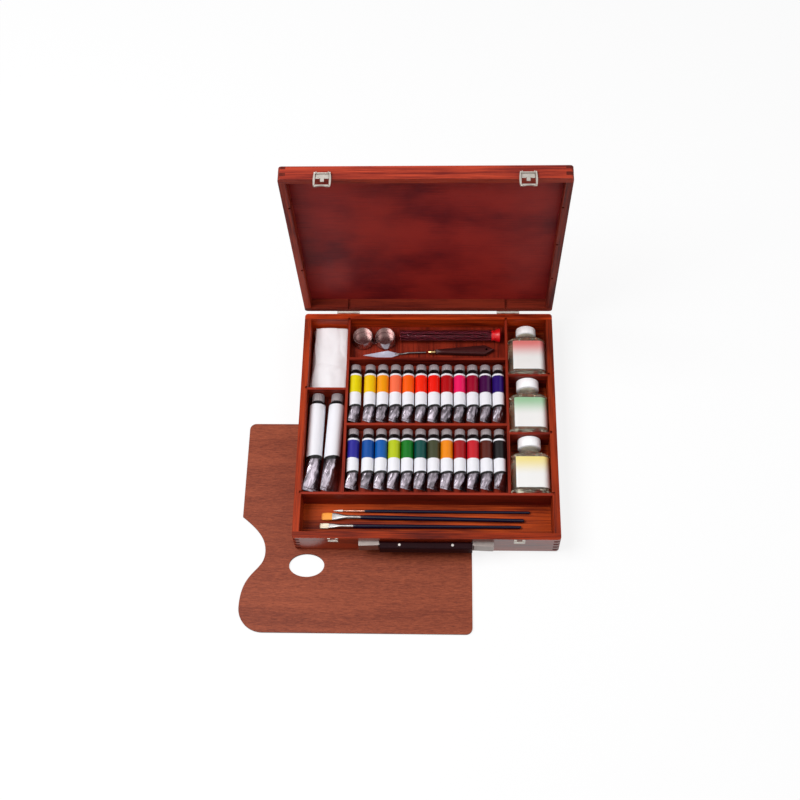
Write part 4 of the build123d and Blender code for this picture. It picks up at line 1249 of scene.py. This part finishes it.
class PAINTSET_OT_knife(PieceOperator, bpy.types.Operator):
    """Make the painting knife"""

    bl_idname = "paint_set.knife"
    bl_label = "Make the painting knife"
    widest_place, blade_half = 41 * MM, 7.5 * MM

    def execute(self, context):
        tools = settings_of(context, "tools")
        low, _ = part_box("painting_knife")
        swing = radians(2.1)
        blade_length, shank_length, ferrule_length, handle_length = 58 * MM, 49 * MM, 11 * MM, 97 * MM
        handle_half, thickness = 9.2 * MM, 9 * MM
        tip = Vector((low.x, low.y + self.tip_offset(swing), low.z))
        turn = Matrix.Rotation(swing, 3, "Z")

        def place(x, y, z):
            return tip + turn @ Vector((x, y, z))

        # Half-metallic steel whose pale bluish colour is partly painted reflection of the bright
        # surroundings.
        steel = metal_finish("knife_blade_steel", tools.blade, 0.34, (0.2, 3.0, 3.0), metallic=0.45)
        self.blade(place, blade_length, steel)
        shank_steel = metal_finish("knife_shank_steel", tint(120, 112, 112), 0.3)
        self.shank(place, blade_length, shank_length, thickness / 2, shank_steel)
        brass = metal_finish("knife_brass", tools.brass, 0.24)
        start = blade_length + shank_length
        profile = [(2.0, 0.0), (2.5, 0.15), (3.3, 2.8), (3.6, 3.6), (3.6, 5.4)]
        profile += [(3.9, 5.6), (3.9, 6.4), (3.6, 6.6), (3.6, 11.2)]
        profile = [(reach * MM, start + along * MM) for reach, along in profile]
        rings = lathe(profile, 32, lambda a, b, along: place(along, a, thickness / 2 + b))
        add_skin("knife_ferrule", "painting_knife", rings, brass, 40)
        shades = (times(factor, tools.knife_wood) for factor in (1.5, 0.7, 0.4))
        handle_wood = wood_finish("knife_handle_wood", "x", *shades, 0.22, 3)
        self.handle(place, start + ferrule_length, handle_length, handle_half, thickness, handle_wood)
        return {"FINISHED"}

    def tip_offset(self, swing):
        """How far the blade's tip lies above the lowest Y of the knife, at the blade's widest."""
        return self.blade_half * cos(swing) - self.widest_place * sin(swing)

    def blade(self, place, length, material):
        """A thin diamond with ground edges."""
        outline = []
        widest, half, neck = self.widest_place, self.blade_half, 1.6 * MM
        steps = 12
        for i in range(steps):
            x = widest * i / steps
            outline.append((x, half * (i / steps) ** 0.9))
        for i in range(steps + 1):
            share = i / steps
            outline.append((widest + (length - widest) * share, half + (neck - half) * share**0.85))
        sides = outline + [(x, -y) for x, y in reversed(outline)]
        rings = []
        for inset, z in ((0.97, 0.05), (1.0, 0.3), (1.0, 0.5), (0.94, 0.8)):
            rings.append([place(x, y * inset, z * MM) for x, y in sides])
        add_skin("knife_blade", "painting_knife", rings, material, 30)

    def shank(self, place, begin, length, rise, material):
        """The cranked rod from the blade up to the handle's middle."""
        radius = 1.5 * MM
        path = [
            (begin - 6 * MM, radius), (begin + 4 * MM, radius), (begin + 8 * MM, 1.15 * radius),
            (begin + 12 * MM, 0.6 * rise + 0.4 * radius), (begin + 16 * MM, rise), (begin + 24 * MM, rise),
            (begin + length + 3 * MM, rise),
        ]
        rings = []
        for index in range(len(path) - 1):
            (x0, z0), (x1, z1) = path[index], path[index + 1]
            for step in range(4):
                share = step / 4
                ease = share * share * (3 - 2 * share)
                x, z = x0 + (x1 - x0) * share, z0 + (z1 - z0) * ease
                flat = 0.45 if x < begin - 2 * MM else 1.0
                z -= (1 - flat) * 0.4 * MM
                ring = round_ring(radius, 20, lambda a, b: (a, b))
                rings.append([place(x, a, z + b * flat) for a, b in ring])
        add_skin("knife_shank", "painting_knife", rings, material, 60)

    def handle(self, place, begin, length, half, thickness, material):
        """A slim wooden handle that swells, then comes to a blunt point, with a hole to hang it by."""
        hole_from_end, point, hole_radius = 13 * MM, 15.5 * MM, 2 * MM
        steps = 48

        root = 3.6 * MM
        belly = length - point
        rise = (half - root) / belly
        lean, fall = atan(rise), atan(half / point)
        tangent = half * tan((lean + fall) / 2)
        centre_x = belly - tangent * cos(lean) + half * sin(lean)
        centre = Vector((centre_x, half - tangent * sin(lean) - half * cos(lean)))

        def reach(x):
            if x < belly - tangent * cos(lean):
                return root + rise * x
            if x > belly + tangent * cos(fall):
                return (length - x) * half / point
            return centre.y + sqrt(half**2 - (x - centre.x) ** 2)

        upper = [(length * i / steps, reach(length * i / steps)) for i in range(steps + 1)]
        outline = upper + [(x, -y) for x, y in reversed(upper[1:-1])]
        hole = Vector((length - hole_from_end, 0.0))
        half_layers = [(0.0, 0.62), (0.06, 0.8), (0.18, 0.93), (0.34, 1.0)]
        layers = half_layers + [(0.66, 1.0), (0.82, 0.93), (0.94, 0.8), (1.0, 0.62)]

        def ring(height, inset):
            lengthways = 0.5 + 0.5 * inset
            return [place(begin + hole.x + (x - hole.x) * lengthways, y * inset, height) for x, y in outline]

        def hole_ring(height):
            points = []
            for x, y in outline:
                out = Vector((x, y)) - hole
                out = out.normalized() * hole_radius if out.length else Vector((hole_radius, 0))
                points.append(place(begin + hole.x + out.x, out.y, height))
            return points

        shell = [ring(share * thickness, inset) for share, inset in reversed(layers)]
        rings = [hole_ring(thickness)] + shell + [hole_ring(0.0)]
        points, faces = skin(rings, close_start=False, close_end=False)
        count = len(outline)
        last = (len(rings) - 1) * count
        for i in range(count):
            j = (i + 1) % count
            faces.append((last + i, last + j, j, i))
        dress(add_piece("knife_handle", points, faces, material, 50), "painting_knife")


class PAINTSET_OT_brushes(PieceOperator, bpy.types.Operator):
    """Make the three brushes with hair, ferrules and lacquered handles"""

    bl_idname = "paint_set.brushes"
    bl_label = "Make the brushes"

    def execute(self, context):
        tools = settings_of(context, "tools")
        silver = metal_finish("ferrule_nickel", tint(168, 164, 162), 0.26)
        copper = metal_finish("ferrule_copper", tools.copper, 0.22)
        # Lengths of hair, ferrule and handle; width and thickness of the hair; radii of the handle; swing
        kinds = (
            ("fine_round_brush", 15.0, 34.0, 256.0, 3.2, 3.2, 2.6, 2.1, 0.2, tools.white_hair, copper),
            ("wide_flat_brush", 17.0, 44.0, 253.0, 12.5, 4.0, 3.8, 2.8, 0.9, tools.orange_hair, silver),
            ("narrow_flat_brush", 14.0, 38.0, 259.0, 8.5, 3.6, 3.35, 2.3, 0.0, tools.cream_hair, silver),
        )
        for index, kind in enumerate(kinds):
            node, hair, ferrule, handle, width, thickness, radius, end_radius, degrees, colour, metal = kind
            low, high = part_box(node)
            swing = radians(degrees)
            belly = hair + ferrule + BELLY_PLACE * handle
            reach = max(width / 2 * cos(swing) - hair * sin(swing), radius * cos(swing) - belly * sin(swing))
            tip = Vector((low.x, high.y - reach * MM, low.z + max(radius, thickness / 2) * MM))
            turn = Matrix.Rotation(-swing, 3, "Z")

            def place(across, up, along, tip=tip, turn=turn):
                return tip + turn @ Vector((along * MM, across * MM, up * MM))

            self.tuft(node, place, hair, width, thickness, colour, index)
            self.ferrule(node, place, hair, ferrule, width, thickness, NECK_SHARE * radius, metal)
            self.stick(node, place, hair + ferrule, handle, radius, end_radius, tools)
        return {"FINISHED"}

    def tuft(self, node, place, hair, width, thickness, colour, seed):
        """Hair: a core shaped to the tip, and fine strands laid over it."""
        round_hair = width == thickness
        root = times(0.75, colour)
        material = hair_finish(node + "_hair", colour, root)
        rings = []
        for i in range(13):
            share = i / 12
            along = hair * (1 - share) + 1.5 * share
            fade = 1 - 0.9 * share**2.2 if round_hair else 1 - 0.14 * share**2
            thin = fade if round_hair else 1 - 0.82 * share**1.6
            bulge = 1 + 0.06 * sin(pi * share)
            wide, thick = width / 2 * fade * bulge * 0.94, thickness / 2 * thin * bulge * 0.9
            rings.append(oblong_ring(wide, thick, thickness * 0.45 * thin, 32, slice_at(place, along)))
        add_skin(node + "_tuft", node, rings, material, 60)
        strands, strand_faces = [], []
        count = 90 if round_hair else 240
        for strand in range(count):
            key = strand * 0.6180339887 + seed * 0.37
            side = 2 * (key % 1.0) - 1
            angle = key * TURN * 7
            depth = sin(angle)
            bottom = (side * width / 2 * 0.93, depth * thickness / 2 * 0.93)
            tip_fade = 0.08 if round_hair else 0.9
            top = (side * width / 2 * tip_fade, depth * thickness / 2 * (0.08 if round_hair else 0.16))
            reach = hair - 0.9 * ((key * 3.7) % 1.0) - (0 if round_hair else 0.5 * side * side)
            base = len(strands)
            for step in range(5):
                share = step / 4
                ease = share**1.8
                y = bottom[0] + (top[0] - bottom[0]) * ease
                z = bottom[1] + (top[1] - bottom[1]) * ease
                swell = 1 + 0.06 * sin(pi * share)
                fine = 0.11 * (1 - 0.7 * share)
                for corner in range(3):
                    turn = TURN * corner / 3
                    across, up = y * swell + fine * cos(turn), z * swell + fine * sin(turn)
                    strands.append(place(across, up, hair - reach * share))
                if step:
                    row = base + 3 * (step - 1)
                    for corner in range(3):
                        other = (corner + 1) % 3
                        strand_faces.append((row + corner, row + other, row + 3 + other, row + 3 + corner))
        dress(add_piece(node + "_strands", strands, strand_faces, material, 180), node)

    def ferrule(self, node, place, hair, length, width, thickness, neck, material):
        """A metal sleeve, flat at the hair and round at the handle, with two crimped rings."""
        crimp = 0.45 * length
        rings = []
        for i in range(25):
            share = i / 24
            along = hair + length * share
            blend = min(1.0, share * length / (length - crimp))
            blend = blend * blend * (3 - 2 * blend)
            wide = width / 2 + (neck - width / 2) * blend
            thick = thickness / 2 + (neck - thickness / 2) * blend
            corner = thickness * 0.45 + (neck - thickness * 0.45) * blend
            rings.append(oblong_ring(wide, thick, corner, 40, slice_at(place, along)))
            if i == 0:
                mouth = slice_at(place, hair + 1.0)
                rings.insert(0, oblong_ring(wide * 0.93, thick * 0.9, corner * 0.9, 40, mouth))
            ridge = share * length
            for centre in (length - 0.6 * crimp, length - 0.35 * crimp):
                if abs(ridge - centre) < length / 48:
                    for shift, grow in ((0.35, 1.0), (0.6, 1.1), (1.3, 1.1), (1.55, 1.0)):
                        spot = slice_at(place, along + shift)
                        rings.append(oblong_ring(wide * grow, thick * grow, corner * grow, 40, spot))
        add_skin(node + "_ferrule", node, rings, material)

    def stick(self, node, place, begin, length, radius, end_radius, tools):
        """A lacquered handle, thickest near the ferrule and drawn out to a dipped end."""
        finish = Finish(node + "_lacquer")
        coordinates = finish.coordinates()
        cloud = finish.noise(coordinates, (0.02, 0.3, 0.3), detail=4)
        shade = finish.mix(cloud, times(0.6, tools.lacquer), times(1.25, tools.lacquer))
        rough = 0.24 + cloud * 0.08
        material = finish.surface(Base_Color=shade, Roughness=rough, Specular_IOR_Level=0.25, Coat_Weight=0.1)
        belly = BELLY_PLACE * length
        profile = [(0.0, 0.97 * NECK_SHARE * radius), (0.4, NECK_SHARE * radius)]
        for i in range(1, 9):
            share = i / 8
            profile.append((belly * share, radius * (NECK_SHARE + (1 - NECK_SHARE) * sin(pi / 2 * share))))
        profile.append((length - end_radius, end_radius))
        for i in range(1, 6):
            angle = pi / 2 * i / 5
            profile.append((length - end_radius * (1 - sin(angle)), end_radius * max(0.08, cos(angle))))
        rings = lathe([(reach, begin + along) for along, reach in profile], 28, place)
        add_skin(node + "_handle", node, rings, material)


class PAINTSET_OT_stage(PieceOperator, bpy.types.Operator):
    """Set the camera, the pale floor and the soft studio light"""

    bl_idname = "paint_set.stage"
    bl_label = "Set the stage"

    def execute(self, context):
        stage = settings_of(context, "stage")
        self.camera(context, stage)
        self.floor(context, stage)
        self.lamps(context, stage)
        context.scene.view_settings.view_transform = "Standard"
        return {"FINISHED"}

    def camera(self, context, stage):
        data = bpy.data.cameras.new("photo_camera")
        data.sensor_width = 36.0
        data.lens = stage.focal * data.sensor_width
        data.shift_x, data.shift_y = stage.shift
        data.clip_start = 0.05
        data.clip_end = 20.0
        p = stage.tilt
        rows = Matrix(((1, 0, 0), (0, sin(p), cos(p)), (0, cos(p), -sin(p))))
        rows = rows @ Matrix.Rotation(stage.turn, 3, "Z").transposed()
        rows = Matrix.Rotation(-stage.roll, 3, "Z") @ rows
        axes = Matrix((rows[0], rows[1], -rows[2])).transposed().to_4x4()
        axes.translation = Vector(stage.place)
        camera = bpy.data.objects.new("photo_camera", data)
        camera.matrix_world = axes
        context.scene.collection.objects.link(camera)
        context.scene.camera = camera

    def floor(self, context, stage):
        """A wide pale floor that keeps the shadows near the set, shows white and fades to white far off."""
        finish = Finish("floor")
        reach = finish.node("VectorMath", {"operation": "LENGTH"}, {0: finish.coordinates()}, 1)
        white_share, bounce_share, size = 0.82, 0.45, 6.0
        pale = finish.node("BsdfDiffuse", {}, {"Color": stage.floor})
        glow = finish.node("Emission", {}, {"Color": (1, 1, 1), "Strength": 1.0})
        whiter = finish.between(reach, 1.0, 2.6, white_share, 1.0)
        both = finish.node("MixShader", {}, {0: whiter, 1: pale, 2: glow})
        bounce = finish.node("BsdfDiffuse", {}, {"Color": times(bounce_share, stage.floor)})
        finish.ended(finish.node("MixShader", {}, {0: finish.seen_directly(), 1: bounce, 2: both}))
        corners = [(-size, -size, 0), (size, -size, 0), (size, size, 0), (-size, size, 0)]
        add_piece("studio_floor", corners, [(0, 1, 2, 3)], finish.material)

    def lamps(self, context, stage):
        """A large lamp high on the left, a weaker and broader one on the right, and soft light all round."""
        target = Vector((0, 0, 0.05))
        for name, place, size, power in (
            ("key_lamp", Vector((-1.2, -0.1, 2.2)), 1.4, stage.key_power),
            ("fill_lamp", Vector((1.6, -0.1, 2.1)), 1.7, stage.fill_power),
        ):
            data = bpy.data.lights.new(name, "AREA")
            data.shape = "SQUARE"
            data.size = size
            data.energy = power
            lamp = bpy.data.objects.new(name, data)
            lamp.location = place
            lamp.rotation_euler = (target - place).to_track_quat("-Z", "Y").to_euler()
            context.scene.collection.objects.link(lamp)
        world = bpy.data.worlds.new("studio")
        world.use_nodes = True
        self.white_to_mirrors(Wiring(world.node_tree), stage.sky)
        context.scene.world = world

    def white_to_mirrors(self, wiring, strength):
        """Lets the camera, metal and glass see white surroundings, while these light the set less."""
        dim = wiring.node("Background", {}, {"Color": (1, 1, 1), "Strength": strength})
        white = wiring.node("Background", {}, {"Color": (1, 1, 1), "Strength": 1.0})
        seen = wiring.node("MixShader", {}, {0: wiring.seen_directly(), 1: dim, 2: white})
        wiring.node("OutputWorld", {}, {"Surface": seen})


OPERATORS = (
    PAINTSET_OT_case,
    PAINTSET_OT_hardware,
    PAINTSET_OT_palette,
    PAINTSET_OT_cloth,
    PAINTSET_OT_small_tubes,
    PAINTSET_OT_large_tubes,
    PAINTSET_OT_bottles,
    PAINTSET_OT_dipper,
    PAINTSET_OT_charcoal,
    PAINTSET_OT_knife,
    PAINTSET_OT_brushes,
    PAINTSET_OT_stage,
)


class PAINTSET_PT_panel(bpy.types.Panel):
    """Sidebar panel with the settings and steps of the paint set"""

    bl_idname = "PAINTSET_PT_panel"
    bl_label = "Paint set"
    bl_space_type = "VIEW_3D"
    bl_region_type = "UI"
    bl_category = "Paint set"

    def draw(self, context):
        for group, kind in SETTINGS.items():
            box = self.layout.box()
            box.label(text=group.capitalize())
            for name in kind.__annotations__:
                label = name.replace("_", " ").capitalize()
                box.prop(getattr(context.scene, "paint_set_" + group), name, text=label)
        for operator in OPERATORS:
            self.layout.operator(operator.bl_idname)


def register():
    for kind in (*SETTINGS.values(), *OPERATORS, PAINTSET_PT_panel):
        bpy.utils.register_class(kind)
    for group, kind in SETTINGS.items():
        setattr(bpy.types.Scene, "paint_set_" + group, bpy.props.PointerProperty(type=kind))


def unregister():
    for group in SETTINGS:
        delattr(bpy.types.Scene, "paint_set_" + group)
    for kind in (PAINTSET_PT_panel, *OPERATORS, *SETTINGS.values()):
        bpy.utils.unregister_class(kind)


def main():
    register()
    for operator in OPERATORS:
        group, step = operator.bl_idname.split(".")
        getattr(getattr(bpy.ops, group), step)()


if __name__ == "__main__":
    main()
